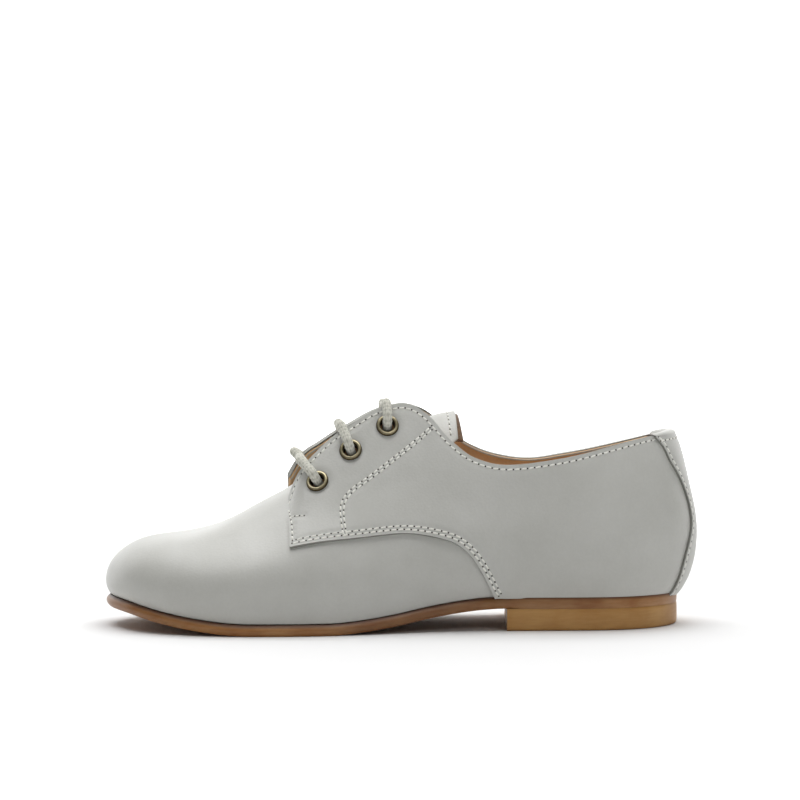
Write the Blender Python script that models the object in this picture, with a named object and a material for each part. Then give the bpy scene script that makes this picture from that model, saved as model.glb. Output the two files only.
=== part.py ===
"""A child's three-eyelet derby shoe, left foot, as separate solids.

Metres, +Z up, toe towards -X, outer (lateral) side towards -Y, standing on the floor at z = 0.
The shoe is worked out on its last: x runs from the sole's toe tip to the back of the heel.
"""
import math
from functools import lru_cache

import bmesh
import bpy
import numpy as np
from mathutils import Matrix, Vector

# Sole and heel
shoe_length = 0.1835
ball_width = 0.0725
heel_width = 0.0500
sole_thickness = 0.0035
heel_height = 0.0070
heel_length = 0.0571
heel_skew = 0.0036
heel_bevel = 0.0012
heel_edge_share = 0.15
heel_edge_blend = 0.0060
toe_spring = 0.0064
sole_inset = 0.0014
insole_thickness = 0.0020
insole_edge = 0.0005

# Upper
toe_height = 0.0295
instep_height = 0.0711
back_height = 0.0614
throat_gap = 0.0192
collar_width = 0.0460
vamp_wall = 0.0018
quarter_wall = 0.0022
quarter_step = 0.0012
strip_step = 0.0010
strip_sink = 0.0005
strip_width = 0.0142
strip_fold = 0.0008
strip_fold_lean = 0.55
seam_height = 0.0318
seam_lap = 0.0065
tongue_wall = 0.0020
tongue_width = 0.0280
tongue_bow = 2.2

# Eyelets and lace
eyelet_width = 0.0072
eyelet_bore = 0.0044
eyelet_barrel = 0.0052
eyelet_lip = 0.0006
eyelet_hole_depth = 0.0120
eyelet_setback = 0.0072
lace_width = 0.0030
lace_shoulder = 0.62
lace_step = 0.0024

# Level of the last's surface near which the eyelets are looked for
eyelet_level = 2.7

# Points round the worked-out outlines, and round the edges of the sole, heel and insole
outline_points = 480
sole_points = 84
insole_points = 60
ring_points = 16

# Rows up the leather sheets, and ribs along each stretch of them
sheet_rows = 11
vamp_toe_ribs = 18
vamp_rear_ribs = 12
vamp_corner_ribs = 5
quarter_middle_ribs = 9
quarter_seam_ribs = 4
quarter_rear_ribs = 6
quarter_fan_ribs = 9
strip_ribs = 7
tongue_ribs = 15

# Clearance between neighbouring solids, and distance within which points are one
gap = 0.0003
weld = 0.000002

seat_top = heel_height + sole_thickness

# Where the ribs of the last fan round the toe and the heel, as shares of the sole's length
toe_focus_front = 0.133 * shoe_length
toe_focus_back = 0.231 * shoe_length
heel_focus_front = 0.834 * shoe_length
heel_focus_back = 0.878 * shoe_length
toe_arc = 0.66 * ball_width
heel_arc = 0.76 * heel_width
girth_run = toe_arc + heel_focus_front - toe_focus_back + heel_arc
fan_power = 1.6

# Sole outline: along the sole's length, lateral and medial half widths, the width they are shares of
OUTLINE_ROWS = (
    (0.018, 0.150, 0.206, ball_width),
    (0.051, 0.290, 0.322, ball_width),
    (0.106, 0.406, 0.414, ball_width),
    (0.188, 0.490, 0.476, ball_width),
    (0.270, 0.517, 0.483, ball_width),
    (0.379, 0.503, 0.432, ball_width),
    (0.461, 0.456, 0.367, ball_width),
    (0.571, 0.385, 0.312, ball_width),
    (0.702, 0.512, 0.484, heel_width),
    (0.790, 0.515, 0.500, heel_width),
    (0.872, 0.498, 0.498, heel_width),
    (0.927, 0.425, 0.425, heel_width),
    (0.967, 0.305, 0.305, heel_width),
    (0.991, 0.163, 0.163, heel_width),
)
toe_tip_shift = 0.040 * ball_width

# Underside of the sole: along the sole's length, lift, the size it is a share of
UNDERSIDE_ROWS = (
    (0.000, 1.000, toe_spring),
    (0.040, 0.875, toe_spring),
    (0.073, 0.670, toe_spring),
    (0.106, 0.470, toe_spring),
    (0.144, 0.285, toe_spring),
    (0.177, 0.160, toe_spring),
    (0.215, 0.045, toe_spring),
    (0.250, 0.000, toe_spring),
    (0.385, 0.000, heel_height),
    (0.430, 0.080, heel_height),
    (0.492, 0.300, heel_height),
    (0.551, 0.600, heel_height),
    (0.613, 0.860, heel_height),
    (0.655, 0.970, heel_height),
    (0.682, 1.000, heel_height),
    (1.000, 1.000, heel_height),
)

# Top line of the last: along the sole's length, rise from the toe's height to the instep's
CREST_ROWS = (
    (0.074, -0.016),
    (0.111, -0.008),
    (0.144, 0.006),
    (0.180, 0.045),
    (0.215, 0.104),
    (0.250, 0.187),
    (0.285, 0.270),
    (0.316, 0.342),
    (0.352, 0.452),
    (0.385, 0.565),
    (0.429, 0.700),
    (0.472, 0.793),
    (0.516, 0.848),
    (0.560, 0.880),
    (0.605, 0.905),
    (0.680, 0.780),
    (0.763, 0.690),
    (0.845, 0.690),
    (1.000, 0.770),
)

# Top edge of the quarters, throat then collar: along the sole's length, rise above the seat on the
# lateral and on the medial side, the height they are shares of
EDGE_ROWS = (
    (0.320, 0.490, 0.590, instep_height),
    (0.330, 0.576, 0.646, instep_height),
    (0.349, 0.677, 0.722, instep_height),
    (0.368, 0.739, 0.762, instep_height),
    (0.401, 0.831, 0.829, instep_height),
    (0.427, 0.882, 0.874, instep_height),
    (0.470, 0.961, 0.947, instep_height),
    (0.497, 0.984, 0.972, instep_height),
    (0.515, 0.992, 0.981, instep_height),
    (0.530, 0.984, 0.979, instep_height),
    (0.547, 0.960, 0.967, instep_height),
    (0.565, 0.915, 0.941, instep_height),
    (0.582, 0.850, 0.899, instep_height),
    (0.603, 0.786, 0.843, instep_height),
    (0.623, 0.737, 0.795, instep_height),
    (0.645, 0.706, 0.756, instep_height),
    (0.669, 0.686, 0.724, instep_height),
    (0.705, 0.813, 0.827, back_height),
    (0.760, 0.837, 0.811, back_height),
    (0.801, 0.862, 0.833, back_height),
    (0.845, 0.899, 0.862, back_height),
    (0.888, 0.938, 0.898, back_height),
    (0.954, 0.988, 0.966, back_height),
    (0.982, 1.000, 1.000, back_height),
)

# The same edge from above: along the sole's length, half width, the width it is a share of
MOUTH_ROWS = (
    (0.290, 0.640, throat_gap),
    (0.330, 0.672, throat_gap),
    (0.368, 0.625, throat_gap),
    (0.418, 0.570, throat_gap),
    (0.472, 0.518, throat_gap),
    (0.515, 0.500, throat_gap),
    (0.545, 0.590, throat_gap),
    (0.565, 0.300, collar_width),
    (0.592, 0.367, collar_width),
    (0.625, 0.424, collar_width),
    (0.670, 0.475, collar_width),
    (0.725, 0.498, collar_width),
    (0.790, 0.492, collar_width),
    (0.845, 0.462, collar_width),
    (0.900, 0.398, collar_width),
    (0.943, 0.297, collar_width),
    (0.972, 0.168, collar_width),
)
mouth_front = 0.270 * shoe_length
mouth_back = 0.984 * shoe_length

# Ribs of the last, from toe tip to heel back: share of the way round, hip outside the foot line,
# hip height, knot inside the hip, knot height, lean of the wall there and at its top edge, degrees
# (widths are shares of the rib's reach, heights of its rise to the top line)
RIB_ROWS = (
    (0.000, 0.068, 0.226, 0.393, 0.840, 27, 46),
    (0.122, 0.078, 0.267, 0.330, 0.815, 28, 46),
    (0.245, 0.050, 0.300, 0.305, 0.760, 34, 46),
    (0.281, 0.045, 0.285, 0.320, 0.735, 38, 46),
    (0.332, 0.045, 0.275, 0.300, 0.700, 44, 47),
    (0.408, 0.050, 0.232, 0.275, 0.633, 55, 57),
    (0.485, 0.065, 0.218, 0.240, 0.582, 62, 62),
    (0.561, 0.100, 0.216, 0.190, 0.556, 70, 68),
    (0.638, 0.120, 0.258, 0.120, 0.568, 76, 71),
    (0.714, 0.125, 0.323, 0.100, 0.632, 78, 74),
    (0.806, 0.128, 0.363, 0.095, 0.681, 78, 72),
    (0.903, 0.165, 0.395, 0.098, 0.700, 77, 70),
    (1.000, 0.280, 0.385, 0.108, 0.690, 77, 66),
)
foot_start_angle = 25
rib_handle = 0.36

# Seam that ends the quarters over the vamp: along the sole's length, share of the seam's height
SEAM_ROWS = (
    (0.320, 0.842),
    (0.363, 0.890),
    (0.418, 0.925),
    (0.479, 0.961),
    (0.511, 0.972),
    (0.543, 0.957),
    (0.576, 0.918),
    (0.600, 0.869),
    (0.617, 0.797),
    (0.631, 0.708),
    (0.643, 0.600),
    (0.655, 0.472),
    (0.670, 0.310),
)
facing_front = 0.318 * shoe_length
seam_foot = 0.670 * shoe_length
throat_line = 0.357 * shoe_length
throat_end = 0.405 * shoe_length

# Ribs of the quarters behind their front corner, and where the even ones over the vamp and over the
# seam's end run from and to, along the sole's length
CORNER_RIBS = (0, 0.004, 0.011, 0.021, 0.034)
MIDDLE_RUN = (0.378, 0.600)
SEAM_END_RUN = (0.617, 0.667)

# Back strip: share of the height, half widths to the lateral and medial side as shares of its usual one
STRIP_ROWS = (
    (0.00, 1.40, 1.40),
    (0.12, 1.26, 1.26),
    (0.25, 1.10, 1.10),
    (0.35, 0.82, 0.82),
    (0.45, 0.74, 0.74),
    (0.55, 0.78, 0.78),
    (0.67, 0.95, 0.90),
    (0.75, 1.20, 1.05),
    (0.83, 1.50, 1.18),
    (0.92, 1.70, 1.22),
    (1.00, 2.10, 1.25),
)

# Eyelets from the front: along the sole's length, setback from the edge as a share of the usual one,
# where its lace crosses the lateral and the medial edge, rise of the lace's middle as a share of its width
EYELET_ROWS = (
    (0.341, 1.24, 0.349, 0.341, 0.05),
    (0.402, 1.08, 0.413, 0.412, 0.05),
    (0.475, 0.93, 0.487, 0.487, 0.00),
)

# Places across the throat that a lace passes, as shares of the way from edge to edge
LACE_MIDDLE = (0.2, 0.4, 0.6, 0.8)

# Tongue: along the sole's length, share of its width, droop of its sides as a share of its width,
# share of the vamp's thickness that it lies below the top line
TONGUE_ROWS = (
    (0.298, 0.80, 0.140, 1.00),
    (0.330, 0.88, 0.205, 1.05),
    (0.360, 0.92, 0.270, 1.25),
    (0.410, 0.94, 0.290, 1.25),
    (0.470, 0.94, 0.290, 0.65),
    (0.530, 0.92, 0.310, 0.15),
    (0.575, 1.00, 0.330, -0.20),
    (0.600, 0.98, 0.350, -0.45),
    (0.611, 0.84, 0.300, -0.60),
)

LATERAL = -1
MEDIAL = 1


def spline_bends(places, values):
    """Second derivatives of the natural cubic through the values."""
    count = len(places)
    matrix = np.eye(count)
    right = np.zeros(count)
    for i in range(1, count - 1):
        before = places[i] - places[i - 1]
        after = places[i + 1] - places[i]
        matrix[i, i - 1:i + 2] = before, 2 * (before + after), after
        right[i] = 6 * ((values[i + 1] - values[i]) / after - (values[i] - values[i - 1]) / before)
    return np.linalg.solve(matrix, right)


@lru_cache(maxsize=None)
def prepared(rows, column):
    places = np.array([row[0] for row in rows])
    values = np.array([row[column] for row in rows], dtype=float)
    return places, values, spline_bends(places, values)


def flow(rows, column, place):
    """A column of a table read as one smooth curve; straight on past its ends."""
    places, values, bends = prepared(rows, column)
    i = int(np.clip(np.searchsorted(places, place) - 1, 0, len(places) - 2))
    held = min(max(place, places[0]), places[-1])
    span = places[i + 1] - places[i]
    a = (places[i + 1] - held) / span
    b = 1 - a
    value = a * values[i] + b * values[i + 1]
    return value + ((a ** 3 - a) * bends[i] + (b ** 3 - b) * bends[i + 1]) * span ** 2 / 6


@lru_cache(maxsize=None)
def firm_slopes(rows):
    """Slopes that keep a curve through the rows level wherever two rows are level."""
    places = np.array([row[0] for row in rows])
    values = np.array([row[1] for row in rows], dtype=float)
    steps = np.diff(values) / np.diff(places)
    slopes = np.zeros(len(places))
    slopes[0] = steps[0]
    for i in range(1, len(steps)):
        if steps[i - 1] * steps[i] > 0:
            slopes[i] = 2 / (1 / steps[i - 1] + 1 / steps[i])
    return places, values, slopes


def firm(rows, place):
    places, values, slopes = firm_slopes(rows)
    held = min(max(place, places[0]), places[-1])
    i = int(np.clip(np.searchsorted(places, held) - 1, 0, len(places) - 2))
    span = places[i + 1] - places[i]
    t = (held - places[i]) / span
    rise = (3 - 2 * t) * t * t
    leave = slopes[i] * t * (1 - t) ** 2
    arrive = slopes[i + 1] * t * t * (t - 1)
    return values[i] + (values[i + 1] - values[i]) * rise + (leave + arrive) * span


def closed_curve(points, count):
    """Evenly spaced points on the periodic cubic through the given points."""
    laid = np.array(points + points + points + points[:1])
    steps = np.hypot(*np.diff(laid, axis=0).T)
    run = np.concatenate([[0], np.cumsum(steps)])
    first = run[len(points)]
    last = run[2 * len(points)]
    bends = [spline_bends(run, laid[:, axis]) for axis in (0, 1)]
    found = []
    for place in np.linspace(first, last, 8 * count + 1):
        i = int(np.clip(np.searchsorted(run, place) - 1, 0, len(run) - 2))
        span = run[i + 1] - run[i]
        a = (run[i + 1] - place) / span
        b = 1 - a
        found.append([
            a * laid[i, axis] + b * laid[i + 1, axis]
            + ((a ** 3 - a) * bends[axis][i] + (b ** 3 - b) * bends[axis][i + 1]) * span ** 2 / 6
            for axis in (0, 1)])
    fine = np.array(found)
    length = np.concatenate([[0], np.cumsum(np.hypot(*np.diff(fine, axis=0).T))])
    even = np.linspace(0, length[-1], count + 1)[:-1]
    return np.stack([np.interp(even, length, fine[:, axis]) for axis in (0, 1)], axis=1)


@lru_cache(maxsize=None)
def sole_outline(count):
    """Sole seen from above, from the toe tip back along the lateral side and forward again."""
    lateral = [(row[0] * shoe_length, LATERAL * row[1] * row[3]) for row in OUTLINE_ROWS]
    medial = [(row[0] * shoe_length, MEDIAL * row[2] * row[3]) for row in reversed(OUTLINE_ROWS)]
    return closed_curve([(0.0, toe_tip_shift)] + lateral + [(shoe_length, 0.0)] + medial, count)


@lru_cache(maxsize=None)
def mouth_outline(count):
    """Throat and collar seen from above, closed at the front only to make one smooth curve."""
    half = [(row[0] * shoe_length, row[1] * row[2]) for row in MOUTH_ROWS]
    lateral = [(x, LATERAL * y) for x, y in half]
    medial = [(x, MEDIAL * y) for x, y in reversed(half)]
    return closed_curve([(mouth_front, 0.0)] + lateral + [(mouth_back, 0.0)] + medial, count)


def inset_curve(curve, inset):
    """A closed curve moved inwards by the inset."""
    ahead = np.roll(curve, -1, axis=0) - np.roll(curve, 1, axis=0)
    ahead /= np.hypot(*ahead.T)[:, None]
    return curve + inset * np.stack([-ahead[:, 1], ahead[:, 0]], axis=1)


@lru_cache(maxsize=None)
def foot_line(count=outline_points):
    """Where the upper meets the sole, seen from above."""
    return inset_curve(sole_outline(count), sole_inset)


def reach(curve, start_x, heading):
    """Distance from (start_x, 0) along the heading to the closed curve."""
    offset = curve - np.array([start_x, 0.0])
    across = offset[:, 0] * heading[1] - offset[:, 1] * heading[0]
    along = offset[:, 0] * heading[0] + offset[:, 1] * heading[1]
    after = np.roll(across, -1)
    along_after = np.roll(along, -1)
    crossing = (across * after <= 0) & (along + along_after > 0) & (across != after)
    share = across[crossing] / (across[crossing] - after[crossing])
    return float(np.max(along[crossing] * (1 - share) + along_after[crossing] * share))


def underside(x):
    """Height of the sole's lower face."""
    rows = tuple((share, lift * size) for share, lift, size in UNDERSIDE_ROWS)
    return firm(rows, x / shoe_length)


def sole_top(x):
    return underside(x) + sole_thickness


def edge_share(x):
    """How much of the sole's edge rounding is left: all of it in front, little over the heel."""
    over_heel = min(max((x - shoe_length + heel_length) / heel_edge_blend, 0), 1)
    return 1 - (1 - heel_edge_share) * over_heel


def breast_at(y):
    """Front of the heel block, a little further back on the medial side."""
    return shoe_length - heel_length + heel_skew * (y / heel_width + 0.5)


def crest(x):
    """Height of the top line of vamp and instep."""
    return toe_height + flow(CREST_ROWS, 1, x / shoe_length) * (instep_height - toe_height)


def crest_slope(x, step=0.0005):
    return (crest(x + step) - crest(x - step)) / (2 * step)


EDGE_HEIGHTS = tuple(
    (share, seat_top + lateral * (size - seat_top), seat_top + medial * (size - seat_top))
    for share, lateral, medial, size in EDGE_ROWS)


def edge_height(x, side):
    """Height of the quarters' top edge."""
    return flow(EDGE_HEIGHTS, 1 if side == LATERAL else 2, x / shoe_length)


def seam_line(x):
    """Height of the quarters' lower edge over the vamp."""
    return flow(SEAM_ROWS, 1, x / shoe_length) * seam_height


def round_at(x):
    """Share of the way round from toe tip to heel back, on the straight sides."""
    return (toe_arc + x - toe_focus_back) / girth_run


def rib_stance(share):
    """Where a rib starts on the centre line, and the angle that it turns from straight sideways."""
    way = share * girth_run
    straight_end = girth_run - heel_arc
    if way < toe_arc:
        part = way / toe_arc
        depth = toe_focus_back - toe_focus_front
        start = toe_focus_front + depth * part ** (toe_arc / depth)
        return start, -math.pi / 2 * (1 - part) ** fan_power
    if way <= straight_end:
        return toe_focus_back + way - toe_arc, 0.0
    part = min((way - straight_end) / heel_arc, 1.0)
    depth = heel_focus_back - heel_focus_front
    start = heel_focus_front + depth * (1 - (1 - part) ** (heel_arc / depth))
    return start, math.pi / 2 * part ** fan_power


def arc_points(start, start_way, end_way, end):
    """Handles of the cubic that leaves start one way and arrives at end the other."""
    length = rib_handle * math.dist(start, end)
    leave = (start[0] + length * start_way[0], start[1] + length * start_way[1])
    arrive = (end[0] - length * end_way[0], end[1] - length * end_way[1])
    return start, leave, arrive, end


def on_cubic(points, t):
    weights = ((1 - t) ** 3, 3 * t * (1 - t) ** 2, 3 * t * t * (1 - t), t ** 3)
    return tuple(sum(w * p[axis] for w, p in zip(weights, points)) for axis in (0, 1))


@lru_cache(maxsize=None)
def rib(share, side):
    """One rib's stance, foot and hip, and its cubics: to the knot, the top edge and the top line."""
    start, turn = rib_stance(share)
    heading = (math.sin(turn), side * math.cos(turn))
    foot = reach(foot_line(), start, heading)
    foot_height = sole_top(start + foot * heading[0]) + gap
    rise = crest(start) - foot_height
    hip = (foot * (1 + flow(RIB_ROWS, 1, share)), foot_height + flow(RIB_ROWS, 2, share) * rise)
    knot = (hip[0] - flow(RIB_ROWS, 3, share) * foot, foot_height + flow(RIB_ROWS, 4, share) * rise)
    knot_lean = math.radians(flow(RIB_ROWS, 5, share))
    knot_way = (-math.cos(knot_lean), math.sin(knot_lean))
    edge_lean = math.radians(flow(RIB_ROWS, 6, share))
    edge_reach = reach(mouth_outline(outline_points), start, heading) if start > mouth_front else knot[0] / 2
    edge = (edge_reach, edge_height(start + edge_reach * heading[0], side))
    top_slope = -crest_slope(start) * heading[0]
    top_way = (-1 / math.hypot(1, top_slope), top_slope / math.hypot(1, top_slope))
    return {
        "start": start,
        "heading": heading,
        "foot": (foot, foot_height),
        "hip": hip,
        "side": arc_points(hip, (0, 1), knot_way, knot),
        "facing": arc_points(knot, knot_way, (-math.cos(edge_lean), math.sin(edge_lean)), edge),
        "vamp": arc_points(knot, knot_way, top_way, (0.0, crest(start))),
    }


def form_point(share, side, level, sheet):
    """A point of the last's surface.

    level runs 0 at the sole, 1 at the hip, 2 at the knot and 3 at the top; the sheet is
    "facing" where the top is the quarters' edge and "vamp" where it is the top line.
    """
    if share < 0:
        share, side = -share, -side
    if share > 1:
        share, side = 2 - share, -side
    found = rib(round(share, 9), side)
    if level <= 1:
        first = math.radians(foot_start_angle)
        angle = first + level * (math.pi / 2 - first)
        out = (math.sin(angle) - math.sin(first)) / (1 - math.sin(first))
        up = 1 - math.cos(angle) / math.cos(first)
        foot, hip = found["foot"], found["hip"]
        width, height = foot[0] + out * (hip[0] - foot[0]), foot[1] + up * (hip[1] - foot[1])
    elif level <= 2:
        width, height = on_cubic(found["side"], level - 1)
    else:
        width, height = on_cubic(found[sheet], level - 2)
    heading = found["heading"]
    return Vector((found["start"] + width * heading[0], width * heading[1], height))


def form_normal(share, side, level, sheet, step=0.002):
    """Outward direction of the surface, level at the sole and upright across the top line."""
    low = max(level - step * 10, 0)
    high = min(level + step * 10, 3)
    up = form_point(share, side, high, sheet) - form_point(share, side, low, sheet)
    along = form_point(share + step, side, level, sheet) - form_point(share - step, side, level, sheet)
    if sheet == "vamp" and level == 3:
        along = Vector((1, 0, crest_slope(rib_stance(abs(share))[0])))
        return Vector((-along.z, 0, 1)).normalized()
    normal = along.cross(up) * -side
    if level == 0:
        normal.z = 0
    return normal.normalized()


def level_at(share, side, height, sheet):
    """Level at which a rib passes a height."""
    low, high = 0.0, 3.0
    for _ in range(30):
        middle = (low + high) / 2
        if form_point(share, side, middle, sheet).z < height:
            low = middle
        else:
            high = middle
    return low


def settle(target, share, side, level, sheet):
    """Share and level of the surface point under a target, by repeated small moves."""
    step = 0.001
    for _ in range(8):
        point = form_point(share, side, level, sheet)
        along = (form_point(share + step, side, level, sheet) - point) / step
        up = (point - form_point(share, side, level - step, sheet)) / step
        miss = target - point
        grid = np.array([[along.dot(along), along.dot(up)], [along.dot(up), up.dot(up)]])
        move = np.linalg.solve(grid, [miss.dot(along), miss.dot(up)])
        share += move[0]
        level = min(level + move[1], 3.0)
    return share, level


def new_object(name, mesh):
    thing = bpy.data.objects.new(name, mesh)
    bpy.context.collection.objects.link(thing)
    return thing


def mesh_object(name, points, faces, sharp_angle=40):
    """A closed mesh with its faces turned outwards."""
    mesh = bpy.data.meshes.new(name)
    mesh.from_pydata([tuple(point) for point in points], [], faces)
    shape = bmesh.new()
    shape.from_mesh(mesh)
    bmesh.ops.recalc_face_normals(shape, faces=shape.faces)
    bmesh.ops.triangulate(shape, faces=shape.faces)
    shape.to_mesh(mesh)
    shape.free()
    mesh.shade_smooth()
    mesh.set_sharp_from_angle(angle=math.radians(sharp_angle))
    return new_object(name, mesh)


def sheet_solid(name, columns, lift, wall):
    """A leather sheet with a real wall, from columns of (point, outward direction).

    Its outer face stands off the given surface by lift. Columns that meet share their points,
    so the sheet closes over the top line of the toe.
    """
    places = {}
    points = []
    ways = []
    grid = []
    for column in columns:
        line = []
        for point, way in column:
            key = tuple(round(value, 6) for value in point)
            if key not in places:
                places[key] = len(points)
                points.append(point)
                ways.append(way)
            line.append(places[key])
        grid.append(line)
    faces = []
    for left, right in zip(grid, grid[1:]):
        for i in range(len(left) - 1):
            corners = [left[i], right[i], right[i + 1], left[i + 1]]
            kept = [corner for n, corner in enumerate(corners) if corner != corners[n - 1]]
            if len(kept) > 2:
                faces.append(kept)
    edges = {}
    for face in faces:
        for a, b in zip(face, face[1:] + face[:1]):
            edges.setdefault(frozenset((a, b)), []).append((a, b))
    rim = [found[0] for found in edges.values() if len(found) == 1]
    count = len(points)
    outer = [point + way * lift for point, way in zip(points, ways)]
    inner = [point + way * (lift - wall) for point, way in zip(points, ways)]
    inside = [[corner + count for corner in reversed(face)] for face in faces]
    border = [[b, a, a + count, b + count] for a, b in rim]
    return mesh_object(name, outer + inner, faces + inside + border)


def form_column(share, side, levels, sheet):
    return [(form_point(share, side, level, sheet), form_normal(share, side, level, sheet))
            for level in levels]


def combine(target, others, operation):
    """Join or cut with the others, keeping one solid."""
    for other in others:
        change = target.modifiers.new(operation.title(), "BOOLEAN")
        change.operation = operation
        change.solver = "EXACT"
        change.object = other
    ready = bpy.context.evaluated_depsgraph_get()
    mesh = bpy.data.meshes.new_from_object(target.evaluated_get(ready))
    target.modifiers.clear()
    target.data = mesh
    for other in others:
        bpy.data.objects.remove(other)
    shape = bmesh.new()
    shape.from_mesh(mesh)
    bmesh.ops.remove_doubles(shape, verts=shape.verts, dist=weld)
    bmesh.ops.dissolve_degenerate(shape, edges=shape.edges, dist=weld)
    bmesh.ops.triangulate(shape, faces=shape.faces)
    shape.to_mesh(mesh)
    shape.free()


def both_sides(shares, centre_share):
    """Stations from the lateral end through the centre rib to the medial end."""
    lateral = [(share, LATERAL) for share in shares]
    medial = [(share, MEDIAL) for share in reversed(shares)]
    return lateral + [(centre_share, LATERAL)] + medial


def vamp_top(x, share, side):
    """Level where the vamp ends: the top line, then hidden under the quarters."""
    if x <= throat_line:
        return 3.0
    lap = level_at(share, side, seam_line(x - seam_lap) + seam_lap, "vamp")
    if x >= throat_end:
        return lap
    part = (x - throat_line) / (throat_end - throat_line)
    return 3.0 + (lap - 3.0) * math.sin(part * math.pi / 2)


def vamp_sheet():
    back = round_at(seam_foot + seam_lap)
    throat = round_at(throat_line)
    rear = list(np.linspace(back, round_at(throat_end), vamp_rear_ribs))
    parts = np.linspace(1, 0, vamp_corner_ribs + 1)[1:-1]
    corner = [round_at(throat_line + (throat_end - throat_line) * part ** 2) for part in parts]
    front = list(np.linspace(throat, 0, vamp_toe_ribs))[:-1]
    columns = []
    for share, side in both_sides(rear + corner + front, 0.0):
        start = rib_stance(share)[0]
        top = vamp_top(start, share, side)
        columns.append(form_column(share, side, np.linspace(0, top, sheet_rows), "vamp"))
    return sheet_solid("vamp", columns, 0.0, vamp_wall)


def quarter_foot(x, share, side):
    """Level of the quarters' lower edge: the seam over the vamp, then the sole."""
    if x >= seam_foot:
        return 0.0
    return level_at(share, side, seam_line(x), "facing")


def quarter_sheet():
    corner = [facing_front + step * shoe_length for step in CORNER_RIBS]
    middle = list(np.linspace(*MIDDLE_RUN, quarter_middle_ribs) * shoe_length)
    seam_end = list(np.linspace(*SEAM_END_RUN, quarter_seam_ribs) * shoe_length) + [seam_foot]
    rear = list(np.linspace(seam_foot, heel_focus_front, quarter_rear_ribs))[1:]
    fan = list(np.linspace(round_at(heel_focus_front), 1, quarter_fan_ribs))[1:-1]
    shares = [round_at(x) for x in corner + middle + seam_end + rear] + fan
    columns = []
    for share, side in both_sides(shares, 1.0):
        foot = quarter_foot(rib_stance(share)[0], share, side)
        columns.append(form_column(share, side, np.linspace(foot, 3, sheet_rows), "facing"))
    return sheet_solid("quarters", columns, quarter_step, quarter_wall)


def strip_share(part, level):
    """Share of the way round at a part of the strip, which runs from 1 laterally to -1 medially."""
    half = flow(STRIP_ROWS, 1 if part > 0 else 2, level / 3) * strip_width / 2 / girth_run
    return 1 - part * half


def strip_sheet():
    levels = np.linspace(0, 3, sheet_rows)
    columns = []
    for part in np.linspace(-1, 1, strip_ribs):
        column = []
        for level in levels:
            share = strip_share(part, level)
            point = form_point(share, LATERAL, level, "facing")
            way = form_normal(share, LATERAL, level, "facing")
            column.append((point, way))
        rising = (column[-1][0] - column[-2][0]).normalized()
        column.append((column[-1][0] + rising * strip_fold, column[-1][1] * strip_fold_lean))
        columns.append(column)
    return sheet_solid("back_strip", columns, quarter_step + strip_step, strip_step + strip_sink)


def edge_point(x, side):
    return form_point(round_at(x), side, 3, "facing")


def edge_ways(x, side, step=0.0002):
    """Outward direction at the top edge, and the direction down the facing from it."""
    along = (edge_point(x + step, side) - edge_point(x - step, side)).normalized()
    outward = form_normal(round_at(x), side, 3, "facing")
    return outward, outward.cross(along) * side


@lru_cache(maxsize=None)
def eyelet_seats(side):
    """For each eyelet: the edge where its lace crosses, its place and its outward direction,
    then the outward and upward directions at that edge."""
    seats = []
    for along, setback, lateral, medial, _ in EYELET_ROWS:
        crossing = (lateral if side == LATERAL else medial) * shoe_length
        x = along * shoe_length
        guess = edge_point(x, side) + edge_ways(x, side)[1] * setback * eyelet_setback
        share, level = settle(guess, round_at(x), side, eyelet_level, "facing")
        place = form_point(share, side, level, "facing")
        way = form_normal(share, side, level, "facing")
        edge_way, down = edge_ways(crossing, side)
        seats.append((edge_point(crossing, side), place, way, edge_way, -down))
    return tuple(seats)


def turned_solid(name, profile, place, way):
    """A ring turned from (radius, height) corners about a direction."""
    points = []
    for n in range(ring_points):
        angle = 2 * math.pi * n / ring_points
        for radius, height in profile:
            points.append(Vector((radius * math.cos(angle), radius * math.sin(angle), height)))
    count = len(profile)
    faces = []
    for n in range(ring_points):
        after = (n + 1) % ring_points
        for i in range(count):
            j = (i + 1) % count
            faces.append((n * count + i, after * count + i, after * count + j, n * count + j))
    thing = mesh_object(name, points, faces, 30)
    turn = Vector((0, 0, 1)).rotation_difference(way)
    thing.matrix_world = Matrix.Translation(place) @ turn.to_matrix().to_4x4()
    return thing


def hole_cutter(place, way, width):
    """A rod through the wall, removed after the cut."""
    points = []
    for height in (-eyelet_hole_depth / 2, eyelet_hole_depth / 2):
        for n in range(ring_points):
            angle = 2 * math.pi * n / ring_points
            points.append(Vector((width / 2 * math.cos(angle), width / 2 * math.sin(angle), height)))
    sides = []
    for n in range(ring_points):
        after = (n + 1) % ring_points
        sides.append((n, after, after + ring_points, n + ring_points))
    ends = [tuple(range(ring_points)), tuple(range(ring_points, 2 * ring_points))]
    rod = mesh_object("hole", points, sides + ends)
    turn = Vector((0, 0, 1)).rotation_difference(way)
    rod.matrix_world = Matrix.Translation(place) @ turn.to_matrix().to_4x4()
    rod.hide_render = True
    rod.display_type = "WIRE"
    return rod


def make_upper():
    upper = vamp_sheet()
    upper.name = "upper"
    combine(upper, [quarter_sheet()], "UNION")
    combine(upper, [strip_sheet()], "UNION")
    bore = eyelet_barrel + 2 * gap
    seats = [seat for side in (LATERAL, MEDIAL) for seat in eyelet_seats(side)]
    combine(upper, [hole_cutter(seat[1], seat[2], bore) for seat in seats], "DIFFERENCE")
    upper.data.shade_smooth()
    upper.data.set_sharp_from_angle(angle=math.radians(40))
    return upper


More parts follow.
